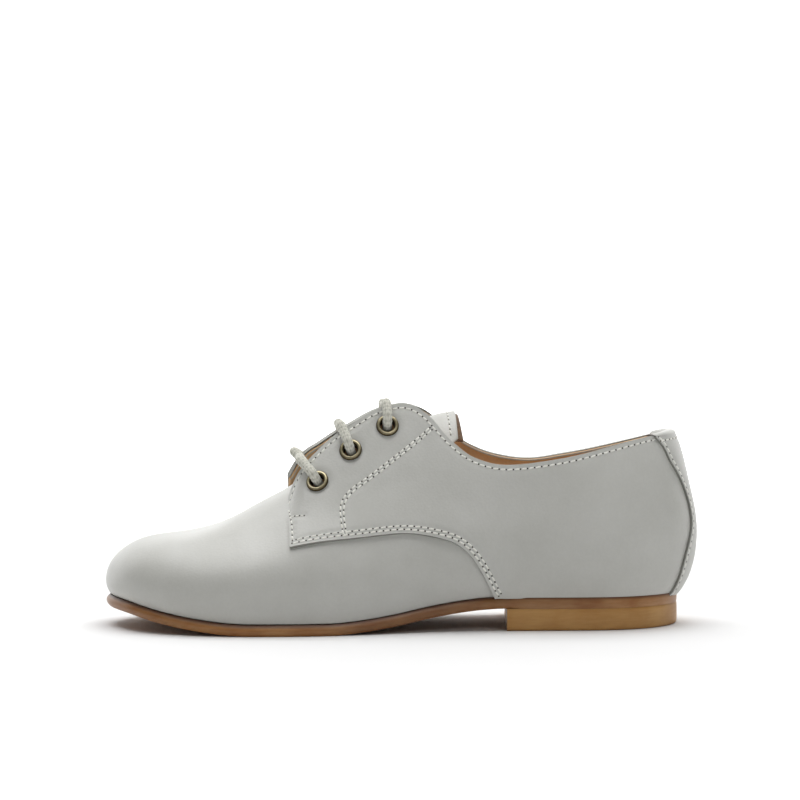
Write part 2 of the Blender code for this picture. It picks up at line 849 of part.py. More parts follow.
def plate(name, curve, rows, height_at):
    """A plate with a shaped edge; rows give each ring's inset and its height above height_at."""
    count = len(curve)
    points = []
    for inset, height in rows:
        ring = inset_curve(curve, inset)
        points += [Vector((x, y, height_at(x) + height)) for x, y in ring]
    faces = []
    for level in range(len(rows) - 1):
        for i in range(count):
            j = (i + 1) % count
            faces.append((level * count + i, level * count + j,
                          (level + 1) * count + j, (level + 1) * count + i))
    for base in (0, (len(rows) - 1) * count):
        for i in range(count // 2):
            far = (count - i) % count
            quad = [base + i, base + i + 1, base + (far - 1) % count, base + far]
            faces.append(list(dict.fromkeys(quad)))
    return mesh_object(name, points, faces)


# Edge of the sole: inset and height, both as shares of its thickness
SOLE_EDGE_ROWS = (
    (0.34, 0.00),
    (0.10, 0.15),
    (0.00, 0.45),
    (0.05, 0.75),
    (0.22, 1.00),
)


# Edge of the heel block: inset as a share of its bevel, height as a share of the heel's
HEEL_EDGE_ROWS = (
    (0.75, 0.00),
    (0.15, 0.17),
    (0.00, 0.55),
)


def make_outsole():
    curve = sole_outline(sole_points)
    rounding = np.array([[edge_share(x)] for x, _ in curve]) * sole_thickness
    rows = [(inset * rounding, height * sole_thickness) for inset, height in SOLE_EDGE_ROWS]
    return plate("outsole", curve, rows, underside)


def insole_inset(x):
    """Inset that clears the vamp's wall in front and the quarters' wall behind the seam."""
    behind = min(max((x - seam_foot - seam_lap) / seam_lap - 0.5, 0), 1)
    return sole_inset + gap + vamp_wall + behind * (quarter_wall - quarter_step - vamp_wall)


def make_insole():
    outline = sole_outline(insole_points)
    curve = inset_curve(outline, np.array([[insole_inset(x)] for x, _ in outline]))
    top = insole_thickness + gap
    rows = [(0, gap), (0, top - insole_edge), (insole_edge, top)]
    return plate("insole", curve, rows, sole_top)


def make_heel():
    """The block under the seat, cut off at the breast, with its lower back edge bevelled."""
    curve = sole_outline(sole_points)
    top_inset = SOLE_EDGE_ROWS[0][0] * heel_edge_share * sole_thickness
    kept = [(x, y) for x, y in curve if x > breast_at(y)]
    front = [inset_cut(curve, breast_at(side * heel_width / 2), side) for side in (LATERAL, MEDIAL)]
    ring = [front[0]] + kept + [front[1]]
    rows = [(inset * heel_bevel, height * heel_height) for inset, height in HEEL_EDGE_ROWS]
    rows.append((top_inset, heel_height - gap))
    points = []
    for inset, height in rows:
        for x, y in inset_ring(ring, inset):
            points.append(Vector((max(x, breast_at(y)), y, height)))
    count = len(ring)
    faces = []
    for level in range(len(rows) - 1):
        for i in range(count):
            j = (i + 1) % count
            faces.append((level * count + i, level * count + j,
                          (level + 1) * count + j, (level + 1) * count + i))
    faces.append(list(range(count)))
    faces.append(list(range((len(rows) - 1) * count, len(rows) * count)))
    return mesh_object("heel", points, faces, 30)


def inset_cut(curve, x, side):
    """Point where one side of a closed curve passes x."""
    half = sorted((tuple(point) for point in curve if point[1] * side > 0), key=lambda p: p[0])
    for before, after in zip(half, half[1:]):
        if before[0] <= x <= after[0]:
            part = (x - before[0]) / (after[0] - before[0])
            return x, before[1] + part * (after[1] - before[1])
    raise ValueError("the curve does not pass x")


def inset_ring(ring, inset):
    """The heel's ring moved inwards round its curved side, with the breast left in its plane."""
    laid = np.array(ring)
    ahead = np.roll(laid, -1, axis=0) - np.roll(laid, 1, axis=0)
    ahead[0] = laid[1] - laid[0]
    ahead[-1] = laid[-1] - laid[-2]
    ahead /= np.hypot(*ahead.T)[:, None]
    return laid + inset * np.stack([-ahead[:, 1], ahead[:, 0]], axis=1)


def tongue_point(x, across):
    """Top face of the tongue; across runs -1 to 1 from its lateral to its medial edge."""
    share = x / shoe_length
    half = flow(TONGUE_ROWS, 1, share) * tongue_width / 2
    droop = flow(TONGUE_ROWS, 2, share) * tongue_width
    sunk = flow(TONGUE_ROWS, 3, share) * (vamp_wall + gap) * math.hypot(1, crest_slope(x))
    return Vector((x, half * across, crest(x) - sunk - droop * abs(across) ** tongue_bow))


def make_tongue():
    step = 0.0005
    aside_step = 0.05
    start = TONGUE_ROWS[0][0] * shoe_length
    end = TONGUE_ROWS[-1][0] * shoe_length
    columns = []
    for x in np.linspace(start, end, tongue_ribs):
        column = []
        for across in np.linspace(-1, 1, sheet_rows):
            along = tongue_point(x + step, across) - tongue_point(x - step, across)
            low = max(across - aside_step, -1)
            high = min(across + aside_step, 1)
            aside = tongue_point(x, high) - tongue_point(x, low)
            column.append((tongue_point(x, across), along.cross(aside).normalized()))
        columns.append(column)
    return sheet_solid("tongue", columns, 0.0, tongue_wall)


# Lip of an eyelet: share of the way from its bore to its rim, height as a share of the lip's
EYELET_LIP_ROWS = (
    (1.00, 0.00),
    (0.79, 0.75),
    (0.50, 1.00),
    (0.00, 0.67),
)


def make_eyelets():
    """Rings whose barrels pass through the quarters, with a rolled lip on the outside."""
    bore = eyelet_bore / 2
    barrel = eyelet_barrel / 2
    rim = eyelet_width / 2
    seat = quarter_step + gap
    inside = quarter_step - quarter_wall - gap
    profile = [(bore, inside), (barrel, inside), (barrel, seat)]
    for part, height in EYELET_LIP_ROWS:
        profile.append((bore + part * (rim - bore), seat + height * eyelet_lip))
    made = []
    for side, side_name in ((LATERAL, "lateral"), (MEDIAL, "medial")):
        for n, seat_found in enumerate(eyelet_seats(side)):
            name = f"eyelet_{side_name}_{n + 1}"
            made.append(turned_solid(name, profile, seat_found[1], seat_found[2]))
    return made


def smooth_route(points, spacing):
    """Points at an even spacing on the smooth curve through a few chosen ones."""
    laid = np.array([tuple(point) for point in points])
    run = np.concatenate([[0], np.cumsum(np.linalg.norm(np.diff(laid, axis=0), axis=1))])
    bends = [spline_bends(run, laid[:, axis]) for axis in range(3)]
    found = []
    for place in np.linspace(0, run[-1], max(int(run[-1] / spacing), 4) + 1):
        i = int(np.clip(np.searchsorted(run, place) - 1, 0, len(run) - 2))
        span = run[i + 1] - run[i]
        a = (run[i + 1] - place) / span
        b = 1 - a
        found.append(Vector([
            a * laid[i, axis] + b * laid[i + 1, axis]
            + ((a ** 3 - a) * bends[axis][i] + (b ** 3 - b) * bends[axis][i + 1]) * span ** 2 / 6
            for axis in range(3)]))
    return found


def bar_half(seat):
    """Route of a lace bar from over its eyelet to over the facing's edge."""
    edge, point, way, edge_way, upward = seat
    radius = lace_width / 2
    over_eyelet = quarter_step + gap + eyelet_lip + 2 * gap + radius
    over_leather = quarter_step + gap + radius
    middle = (edge + point) / 2
    shoulder = (edge_way + upward).normalized()
    return [
        point + way * over_eyelet,
        middle + (way + edge_way).normalized() * over_eyelet,
        edge + edge_way * (over_leather * lace_shoulder) + shoulder * radius,
        edge + upward * (radius + gap),
    ]


def bar_middle(n, start, end):
    """Places across the throat from edge to edge, arched away from the foot."""
    seats = (eyelet_seats(LATERAL)[n], eyelet_seats(MEDIAL)[n])
    away = sum((seat[3] + seat[4] for seat in seats), Vector()).normalized()
    rise = away * EYELET_ROWS[n][4] * lace_width
    return [start.lerp(end, share) + rise * math.sin(math.pi * share) for share in LACE_MIDDLE]


def make_laces():
    made = []
    for n in range(len(EYELET_ROWS)):
        lateral = bar_half(eyelet_seats(LATERAL)[n])
        medial = bar_half(eyelet_seats(MEDIAL)[n])
        across = bar_middle(n, lateral[-1], medial[-1])
        route = smooth_route(lateral + across + medial[::-1], lace_step)
        curve = bpy.data.curves.new(f"lace_{n + 1}", "CURVE")
        curve.dimensions = "3D"
        curve.bevel_depth = lace_width / 2
        curve.bevel_resolution = 2
        curve.use_fill_caps = True
        spline = curve.splines.new("POLY")
        spline.points.add(len(route) - 1)
        for place, point in zip(spline.points, route):
            place.co = (*point, 1)
        made.append(new_object(f"lace_{n + 1}", curve))
    return made


def finish(thing, name, colour, roughness, metallic=0.0):
    material = bpy.data.materials.new(name)
    material.use_nodes = True
    shader = material.node_tree.nodes["Principled BSDF"]
    shader.inputs["Base Color"].default_value = (*colour, 1)
    shader.inputs["Roughness"].default_value = roughness
    shader.inputs["Metallic"].default_value = metallic
    thing.data.materials.clear()
    thing.data.materials.append(material)


def middle_of_box():
    """Middle of the upper's hips from above, which are the shoe's widest places."""
    front = form_point(0, LATERAL, 1, "vamp").x
    back = form_point(1, LATERAL, 1, "facing").x + quarter_step + strip_step
    stations = np.linspace(0.15, 0.5, 36)
    lateral = min(form_point(share, LATERAL, 1, "vamp").y for share in stations)
    medial = max(form_point(share, MEDIAL, 1, "vamp").y for share in stations)
    return (front + back) / 2, (lateral + medial) / 2


def build():
    for thing in list(bpy.data.objects):
        bpy.data.objects.remove(thing)
    grey_leather = (0.41, 0.41, 0.38)
    tan_leather = (0.42, 0.23, 0.11)
    heel_leather = (0.52, 0.32, 0.17)
    sock_leather = (0.36, 0.22, 0.12)
    brass = (0.35, 0.24, 0.11)
    cord = (0.52, 0.50, 0.45)
    middle_x, middle_y = middle_of_box()
    stand = new_object("shoe_left", None)
    stand.location = (-middle_x, -middle_y, 0)
    made = []
    for thing, name, colour, roughness, metallic in (
            (make_upper(), "upper_leather", grey_leather, 0.5, 0.0),
            (make_outsole(), "outsole_leather", tan_leather, 0.45, 0.0),
            (make_heel(), "heel_leather", heel_leather, 0.5, 0.0),
            (make_insole(), "insole_leather", sock_leather, 0.6, 0.0),
            (make_tongue(), "tongue_leather", grey_leather, 0.5, 0.0)):
        finish(thing, name, colour, roughness, metallic)
        made.append(thing)
    for thing in make_eyelets():
        finish(thing, f"{thing.name}_brass", brass, 0.35, 1.0)
        made.append(thing)
    for thing in make_laces():
        finish(thing, f"{thing.name}_cotton", cord, 0.85)
        made.append(thing)
    for thing in made:
        thing.parent = stand


build()
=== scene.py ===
"""How a child's three-eyelet derby shoe looks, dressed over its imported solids.

A left shoe in pale grey calf with a tan lining, a leather sole and heel, antique brass eyelets and a
round cotton lace. Metres, +Z up, toe towards -X, outer (lateral) side towards -Y.
Leather pieces are laid on the surface of the last, which is worked out from the same sizes as the
solids: x runs from the sole's toe tip to the back of the heel, and SHOE_MOVE puts it over the frame.
"""
import math
from collections import namedtuple
from functools import lru_cache

import bmesh
import bpy
import numpy as np
from mathutils import Matrix, Vector
from mathutils.bvhtree import BVHTree
from mathutils.kdtree import KDTree


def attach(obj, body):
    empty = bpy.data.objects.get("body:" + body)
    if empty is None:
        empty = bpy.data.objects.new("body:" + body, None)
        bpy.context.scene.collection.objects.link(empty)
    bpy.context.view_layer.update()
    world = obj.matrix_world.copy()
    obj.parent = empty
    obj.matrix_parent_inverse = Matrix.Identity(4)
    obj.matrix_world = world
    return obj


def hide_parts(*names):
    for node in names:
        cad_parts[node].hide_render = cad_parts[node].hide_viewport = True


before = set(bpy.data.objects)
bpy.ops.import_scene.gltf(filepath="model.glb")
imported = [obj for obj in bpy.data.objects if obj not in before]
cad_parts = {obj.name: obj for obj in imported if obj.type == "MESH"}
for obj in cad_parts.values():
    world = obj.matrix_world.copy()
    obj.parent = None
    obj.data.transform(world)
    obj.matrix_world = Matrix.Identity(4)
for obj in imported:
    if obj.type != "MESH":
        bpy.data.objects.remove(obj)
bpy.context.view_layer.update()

# Sole and heel
shoe_length = 0.1835
ball_width = 0.0725
heel_width = 0.0500
sole_thickness = 0.0035
heel_height = 0.0070
heel_length = 0.0571
heel_skew = 0.0036
heel_bevel = 0.0012
heel_edge_share = 0.15
heel_edge_blend = 0.0060
toe_spring = 0.0064
sole_inset = 0.0014
insole_thickness = 0.0020

# Upper
toe_height = 0.0295
instep_height = 0.0711
back_height = 0.0614
throat_gap = 0.0192
collar_width = 0.0460
vamp_wall = 0.0018
quarter_wall = 0.0022
quarter_step = 0.0012
strip_step = 0.0010
strip_sink = 0.0005
strip_width = 0.0142
strip_fold = 0.0008
seam_height = 0.0318
seam_lap = 0.0065
tongue_wall = 0.0020
tongue_width = 0.0280
tongue_bow = 2.2

# Eyelets and lace
eyelet_width = 0.0072
eyelet_bore = 0.0044
eyelet_barrel = 0.0052
eyelet_lip = 0.0006
eyelet_setback = 0.0072
lace_width = 0.0030
lace_shoulder = 0.62

# Levels of the last's surface: its top, and the one near which the eyelets are looked for
top_level = 3.0
eyelet_level = 2.7

# Points round the worked-out outlines, and round the edges of the sole and heel and of the sock
outline_points = 480
sole_points = 420
sock_points = 240

# Clearance between neighbouring pieces
gap = 0.0003

seat_top = heel_height + sole_thickness

# Where the ribs of the last fan round the toe and the heel, as shares of the sole's length
toe_focus_front = 0.133 * shoe_length
toe_focus_back = 0.231 * shoe_length
heel_focus_front = 0.834 * shoe_length
heel_focus_back = 0.878 * shoe_length
toe_arc = 0.66 * ball_width
heel_arc = 0.76 * heel_width
girth_run = toe_arc + heel_focus_front - toe_focus_back + heel_arc
fan_power = 1.6

# Sole outline: along the sole's length, lateral and medial half widths, the width they are shares of
OUTLINE_ROWS = (
    (0.018, 0.150, 0.206, ball_width),
    (0.051, 0.290, 0.322, ball_width),
    (0.106, 0.406, 0.414, ball_width),
    (0.188, 0.490, 0.476, ball_width),
    (0.270, 0.517, 0.483, ball_width),
    (0.379, 0.503, 0.432, ball_width),
    (0.461, 0.456, 0.367, ball_width),
    (0.571, 0.385, 0.312, ball_width),
    (0.702, 0.512, 0.484, heel_width),
    (0.790, 0.515, 0.500, heel_width),
    (0.872, 0.498, 0.498, heel_width),
    (0.927, 0.425, 0.425, heel_width),
    (0.967, 0.305, 0.305, heel_width),
    (0.991, 0.163, 0.163, heel_width),
)
toe_tip_shift = 0.040 * ball_width

# Underside of the sole: along the sole's length, lift, the size it is a share of
UNDERSIDE_ROWS = (
    (0.000, 1.000, toe_spring),
    (0.040, 0.875, toe_spring),
    (0.073, 0.670, toe_spring),
    (0.106, 0.470, toe_spring),
    (0.144, 0.285, toe_spring),
    (0.177, 0.160, toe_spring),
    (0.215, 0.045, toe_spring),
    (0.250, 0.000, toe_spring),
    (0.385, 0.000, heel_height),
    (0.430, 0.080, heel_height),
    (0.492, 0.300, heel_height),
    (0.551, 0.600, heel_height),
    (0.613, 0.860, heel_height),
    (0.655, 0.970, heel_height),
    (0.682, 1.000, heel_height),
    (1.000, 1.000, heel_height),
)

# Top line of the last: along the sole's length, rise from the toe's height to the instep's
CREST_ROWS = (
    (0.074, -0.016),
    (0.111, -0.008),
    (0.144, 0.006),
    (0.180, 0.045),
    (0.215, 0.104),
    (0.250, 0.187),
    (0.285, 0.270),
    (0.316, 0.342),
    (0.352, 0.452),
    (0.385, 0.565),
    (0.429, 0.700),
    (0.472, 0.793),
    (0.516, 0.848),
    (0.560, 0.880),
    (0.605, 0.905),
    (0.680, 0.780),
    (0.763, 0.690),
    (0.845, 0.690),
    (1.000, 0.770),
)

# Top edge of the quarters, throat then collar: along the sole's length, rise above the seat on the
# lateral and on the medial side, the height they are shares of
EDGE_ROWS = (
    (0.320, 0.490, 0.590, instep_height),
    (0.330, 0.576, 0.646, instep_height),
    (0.349, 0.677, 0.722, instep_height),
    (0.368, 0.739, 0.762, instep_height),
    (0.401, 0.831, 0.829, instep_height),
    (0.427, 0.882, 0.874, instep_height),
    (0.470, 0.961, 0.947, instep_height),
    (0.497, 0.984, 0.972, instep_height),
    (0.515, 0.992, 0.981, instep_height),
    (0.530, 0.984, 0.979, instep_height),
    (0.547, 0.960, 0.967, instep_height),
    (0.565, 0.915, 0.941, instep_height),
    (0.582, 0.850, 0.899, instep_height),
    (0.603, 0.786, 0.843, instep_height),
    (0.623, 0.737, 0.795, instep_height),
    (0.645, 0.706, 0.756, instep_height),
    (0.669, 0.686, 0.724, instep_height),
    (0.705, 0.813, 0.827, back_height),
    (0.760, 0.837, 0.811, back_height),
    (0.801, 0.862, 0.833, back_height),
    (0.845, 0.899, 0.862, back_height),
    (0.888, 0.938, 0.898, back_height),
    (0.954, 0.988, 0.966, back_height),
    (0.982, 1.000, 1.000, back_height),
)

# The same edge from above: along the sole's length, half width, the width it is a share of
MOUTH_ROWS = (
    (0.290, 0.640, throat_gap),
    (0.330, 0.672, throat_gap),
    (0.368, 0.625, throat_gap),
    (0.418, 0.570, throat_gap),
    (0.472, 0.518, throat_gap),
    (0.515, 0.500, throat_gap),
    (0.545, 0.590, throat_gap),
    (0.565, 0.300, collar_width),
    (0.592, 0.367, collar_width),
    (0.625, 0.424, collar_width),
    (0.670, 0.475, collar_width),
    (0.725, 0.498, collar_width),
    (0.790, 0.492, collar_width),
    (0.845, 0.462, collar_width),
    (0.900, 0.398, collar_width),
    (0.943, 0.297, collar_width),
    (0.972, 0.168, collar_width),
)
mouth_front = 0.270 * shoe_length
mouth_back = 0.984 * shoe_length

# Ribs of the last, from toe tip to heel back: share of the way round, hip outside the foot line,
# hip height, knot inside the hip, knot height, lean of the wall there and at its top edge, degrees
# (widths are shares of the rib's reach, heights of its rise to the top line)
RIB_ROWS = (
    (0.000, 0.068, 0.226, 0.393, 0.840, 27, 46),
    (0.122, 0.078, 0.267, 0.330, 0.815, 28, 46),
    (0.245, 0.050, 0.300, 0.305, 0.760, 34, 46),
    (0.281, 0.045, 0.285, 0.320, 0.735, 38, 46),
    (0.332, 0.045, 0.275, 0.300, 0.700, 44, 47),
    (0.408, 0.050, 0.232, 0.275, 0.633, 55, 57),
    (0.485, 0.065, 0.218, 0.240, 0.582, 62, 62),
    (0.561, 0.100, 0.216, 0.190, 0.556, 70, 68),
    (0.638, 0.120, 0.258, 0.120, 0.568, 76, 71),
    (0.714, 0.125, 0.323, 0.100, 0.632, 78, 74),
    (0.806, 0.128, 0.363, 0.095, 0.681, 78, 72),
    (0.903, 0.165, 0.395, 0.098, 0.700, 77, 70),
    (1.000, 0.280, 0.385, 0.108, 0.690, 77, 66),
)
foot_start_angle = 25
rib_handle = 0.36

# Seam that ends the quarters over the vamp: along the sole's length, share of the seam's height
SEAM_ROWS = (
    (0.320, 0.842),
    (0.363, 0.890),
    (0.418, 0.925),
    (0.479, 0.961),
    (0.511, 0.972),
    (0.543, 0.957),
    (0.576, 0.918),
    (0.600, 0.869),
    (0.617, 0.797),
    (0.631, 0.708),
    (0.643, 0.600),
    (0.655, 0.472),
    (0.670, 0.310),
)
facing_front = 0.318 * shoe_length
seam_foot = 0.670 * shoe_length
throat_line = 0.357 * shoe_length
throat_end = 0.405 * shoe_length

# Back strip: share of the height, half widths to the lateral and medial side as shares of its usual one
STRIP_ROWS = (
    (0.00, 1.40, 1.40),
    (0.12, 1.26, 1.26),
    (0.25, 1.10, 1.10),
    (0.35, 0.82, 0.82),
    (0.45, 0.74, 0.74),
    (0.55, 0.78, 0.78),
    (0.67, 0.95, 0.90),
    (0.75, 1.20, 1.05),
    (0.83, 1.50, 1.18),
    (0.92, 1.70, 1.22),
    (1.00, 2.10, 1.25),
)

# Eyelets from the front: along the sole's length, setback from the edge as a share of the usual one,
# where its lace crosses the lateral and the medial edge, rise of the lace's middle as a share of its width
EYELET_ROWS = (
    (0.341, 1.24, 0.349, 0.341, 0.05),
    (0.402, 1.08, 0.413, 0.412, 0.05),
    (0.475, 0.93, 0.487, 0.487, 0.00),
)

# Places across the throat that a lace passes, as shares of the way from edge to edge
LACE_MIDDLE = (0.2, 0.4, 0.6, 0.8)

# Tongue: along the sole's length, share of its width, droop of its sides as a share of its width,
# share of the vamp's thickness that it lies below the top line
TONGUE_ROWS = (
    (0.298, 0.80, 0.140, 1.00),
    (0.330, 0.88, 0.205, 1.05),
    (0.360, 0.92, 0.270, 1.25),
    (0.410, 0.94, 0.290, 1.25),
    (0.470, 0.94, 0.290, 0.65),
    (0.530, 0.92, 0.310, 0.15),
    (0.575, 1.00, 0.330, -0.20),
    (0.600, 0.98, 0.350, -0.45),
    (0.611, 0.84, 0.300, -0.60),
)

LATERAL = -1
MEDIAL = 1


def spline_bends(places, values):
    """Second derivatives of the natural cubic through the values."""
    count = len(places)
    matrix = np.eye(count)
    right = np.zeros(count)
    for i in range(1, count - 1):
        before = places[i] - places[i - 1]
        after = places[i + 1] - places[i]
        matrix[i, i - 1:i + 2] = before, 2 * (before + after), after
        right[i] = 6 * ((values[i + 1] - values[i]) / after - (values[i] - values[i - 1]) / before)
    return np.linalg.solve(matrix, right)


def on_spline(places, values, bends, place):
    """Value of the natural cubic at a place."""
    i = int(np.clip(np.searchsorted(places, place) - 1, 0, len(places) - 2))
    span = places[i + 1] - places[i]
    a = (places[i + 1] - place) / span
    b = 1 - a
    return (a * values[i] + b * values[i + 1]
            + ((a ** 3 - a) * bends[i] + (b ** 3 - b) * bends[i + 1]) * span ** 2 / 6)


def run_along(laid):
    """Distance along a line of points to each of them."""
    return np.concatenate([[0], np.cumsum(np.linalg.norm(np.diff(laid, axis=0), axis=1))])


def spline_points(laid, run, places):
    """Points at places along the run of the natural cubic through the laid points."""
    bends = np.stack([spline_bends(run, column) for column in laid.T], axis=1)
    return np.array([on_spline(run, laid, bends, place) for place in places])


@lru_cache(maxsize=None)
def prepared(rows, column):
    """A table's places, the values of one column and their bends."""
    places = np.array([row[0] for row in rows])
    values = np.array([row[column] for row in rows], dtype=float)
    return places, values, spline_bends(places, values)


def flow(rows, column, place):
    """A column of a table read as one smooth curve, level past its ends."""
    places, values, bends = prepared(rows, column)
    return on_spline(places, values, bends, min(max(place, places[0]), places[-1]))


@lru_cache(maxsize=None)
def firm_slopes(rows):
    """Slopes that keep a curve through the rows level wherever two rows are level."""
    places = np.array([row[0] for row in rows])
    values = np.array([row[1] for row in rows], dtype=float)
    steps = np.diff(values) / np.diff(places)
    slopes = np.zeros(len(places))
    slopes[0] = steps[0]
    for i in range(1, len(steps)):
        if steps[i - 1] * steps[i] > 0:
            slopes[i] = 2 / (1 / steps[i - 1] + 1 / steps[i])
    return places, values, slopes


def firm(rows, place):
    """A table of two columns read as a curve that never overshoots its rows."""
    places, values, slopes = firm_slopes(rows)
    held = min(max(place, places[0]), places[-1])
    i = int(np.clip(np.searchsorted(places, held) - 1, 0, len(places) - 2))
    span = places[i + 1] - places[i]
    t = (held - places[i]) / span
    rise = (3 - 2 * t) * t * t
    leave = slopes[i] * t * (1 - t) ** 2
    arrive = slopes[i + 1] * t * t * (t - 1)
    return values[i] + (values[i + 1] - values[i]) * rise + (leave + arrive) * span


def closed_curve(points, count):
    """Evenly spaced points on the periodic cubic through the given points."""
    laid = np.array(points + points + points + points[:1])
    run = run_along(laid)
    fine = spline_points(laid, run, np.linspace(run[len(points)], run[2 * len(points)], 8 * count + 1))
    length = run_along(fine)
    even = np.linspace(0, length[-1], count + 1)[:-1]
    return np.stack([np.interp(even, length, fine[:, axis]) for axis in (0, 1)], axis=1)


@lru_cache(maxsize=None)
def sole_outline(count):
    """Sole seen from above, from the toe tip back along the lateral side and forward again."""
    lateral = [(row[0] * shoe_length, LATERAL * row[1] * row[3]) for row in OUTLINE_ROWS]
    medial = [(row[0] * shoe_length, MEDIAL * row[2] * row[3]) for row in reversed(OUTLINE_ROWS)]
    return closed_curve([(0.0, toe_tip_shift)] + lateral + [(shoe_length, 0.0)] + medial, count)


@lru_cache(maxsize=None)
def mouth_outline(count):
    """Throat and collar seen from above, closed at the front only to make one smooth curve."""
    half = [(row[0] * shoe_length, row[1] * row[2]) for row in MOUTH_ROWS]
    lateral = [(x, LATERAL * y) for x, y in half]
    medial = [(x, MEDIAL * y) for x, y in reversed(half)]
    return closed_curve([(mouth_front, 0.0)] + lateral + [(mouth_back, 0.0)] + medial, count)


def inset_curve(curve, inset, open_ended=False):
    """A closed curve moved inwards by the inset; the gap of an open-ended one stays in its plane."""
    ahead = np.roll(curve, -1, axis=0) - np.roll(curve, 1, axis=0)
    if open_ended:
        ahead[0] = curve[1] - curve[0]
        ahead[-1] = curve[-1] - curve[-2]
    ahead /= np.hypot(*ahead.T)[:, None]
    return curve + inset * np.stack([-ahead[:, 1], ahead[:, 0]], axis=1)


@lru_cache(maxsize=None)
def foot_line(count=outline_points):
    """Where the upper meets the sole, seen from above."""
    return inset_curve(sole_outline(count), sole_inset)


def reach(curve, start_x, heading):
    """Distance from (start_x, 0) along the heading to the closed curve."""
    offset = curve - np.array([start_x, 0.0])
    across = offset[:, 0] * heading[1] - offset[:, 1] * heading[0]
    along = offset[:, 0] * heading[0] + offset[:, 1] * heading[1]
    after = np.roll(across, -1)
    along_after = np.roll(along, -1)
    crossing = (across * after <= 0) & (along + along_after > 0) & (across != after)
    share = across[crossing] / (across[crossing] - after[crossing])
    return float(np.max(along[crossing] * (1 - share) + along_after[crossing] * share))


def underside(x):
    """Height of the sole's lower face."""
    rows = tuple((share, lift * size) for share, lift, size in UNDERSIDE_ROWS)
    return firm(rows, x / shoe_length)


def sole_top(x):
    """Height of the sole's upper face."""
    return underside(x) + sole_thickness


def edge_share(x):
    """How much of the sole's edge rounding is left: all of it in front, little over the heel."""
    over_heel = min(max((x - shoe_length + heel_length) / heel_edge_blend, 0), 1)
    return 1 - (1 - heel_edge_share) * over_heel


def breast_at(y):
    """Front of the heel block, a little further back on the medial side."""
    return shoe_length - heel_length + heel_skew * (y / heel_width + 0.5)


def crest(x):
    """Height of the top line of vamp and instep."""
    return toe_height + flow(CREST_ROWS, 1, x / shoe_length) * (instep_height - toe_height)


def crest_slope(x, step=0.0005):
    return (crest(x + step) - crest(x - step)) / (2 * step)


EDGE_HEIGHTS = tuple(
    (share, seat_top + lateral * (size - seat_top), seat_top + medial * (size - seat_top))
    for share, lateral, medial, size in EDGE_ROWS)


def edge_height(x, side):
    """Height of the quarters' top edge."""
    return flow(EDGE_HEIGHTS, 1 if side == LATERAL else 2, x / shoe_length)


def seam_line(x):
    """Height of the quarters' lower edge over the vamp."""
    return flow(SEAM_ROWS, 1, x / shoe_length) * seam_height


def round_at(x):
    """Share of the way round from toe tip to heel back, on the straight sides."""
    return (toe_arc + x - toe_focus_back) / girth_run


def rib_stance(share):
    """Where a rib starts on the centre line, and the angle that it turns from straight sideways."""
    way = share * girth_run
    straight_end = girth_run - heel_arc
    if way < toe_arc:
        part = way / toe_arc
        depth = toe_focus_back - toe_focus_front
        start = toe_focus_front + depth * part ** (toe_arc / depth)
        return start, -math.pi / 2 * (1 - part) ** fan_power
    if way <= straight_end:
        return toe_focus_back + way - toe_arc, 0.0
    part = min((way - straight_end) / heel_arc, 1.0)
    depth = heel_focus_back - heel_focus_front
    start = heel_focus_front + depth * (1 - (1 - part) ** (heel_arc / depth))
    return start, math.pi / 2 * part ** fan_power


def arc_points(start, start_way, end_way, end):
    """Handles of the cubic that leaves start one way and arrives at end the other."""
    length = rib_handle * math.dist(start, end)
    leave = (start[0] + length * start_way[0], start[1] + length * start_way[1])
    arrive = (end[0] - length * end_way[0], end[1] - length * end_way[1])
    return start, leave, arrive, end


def on_cubic(points, t):
    weights = ((1 - t) ** 3, 3 * t * (1 - t) ** 2, 3 * t * t * (1 - t), t ** 3)
    return tuple(sum(w * p[axis] for w, p in zip(weights, points)) for axis in (0, 1))


@lru_cache(maxsize=None)
def rib(share, side):
    """One rib's stance, foot and hip, and its cubics: to the knot, the top edge and the top line."""
    start, turn = rib_stance(share)
    heading = (math.sin(turn), side * math.cos(turn))
    foot = reach(foot_line(), start, heading)
    foot_height = sole_top(start + foot * heading[0]) + gap
    rise = crest(start) - foot_height
    hip = (foot * (1 + flow(RIB_ROWS, 1, share)), foot_height + flow(RIB_ROWS, 2, share) * rise)
    knot = (hip[0] - flow(RIB_ROWS, 3, share) * foot, foot_height + flow(RIB_ROWS, 4, share) * rise)
    knot_lean = math.radians(flow(RIB_ROWS, 5, share))
    knot_way = (-math.cos(knot_lean), math.sin(knot_lean))
    edge_lean = math.radians(flow(RIB_ROWS, 6, share))
    has_mouth = start > mouth_front
    edge_reach = reach(mouth_outline(outline_points), start, heading) if has_mouth else knot[0] / 2
    edge = (edge_reach, edge_height(start + edge_reach * heading[0], side))
    top_slope = -crest_slope(start) * heading[0]
    top_way = (-1 / math.hypot(1, top_slope), top_slope / math.hypot(1, top_slope))
    return {
        "start": start,
        "heading": heading,
        "foot": (foot, foot_height),
        "hip": hip,
        "side": arc_points(hip, (0, 1), knot_way, knot),
        "facing": arc_points(knot, knot_way, (-math.cos(edge_lean), math.sin(edge_lean)), edge),
        "vamp": arc_points(knot, knot_way, top_way, (0.0, crest(start))),
    }


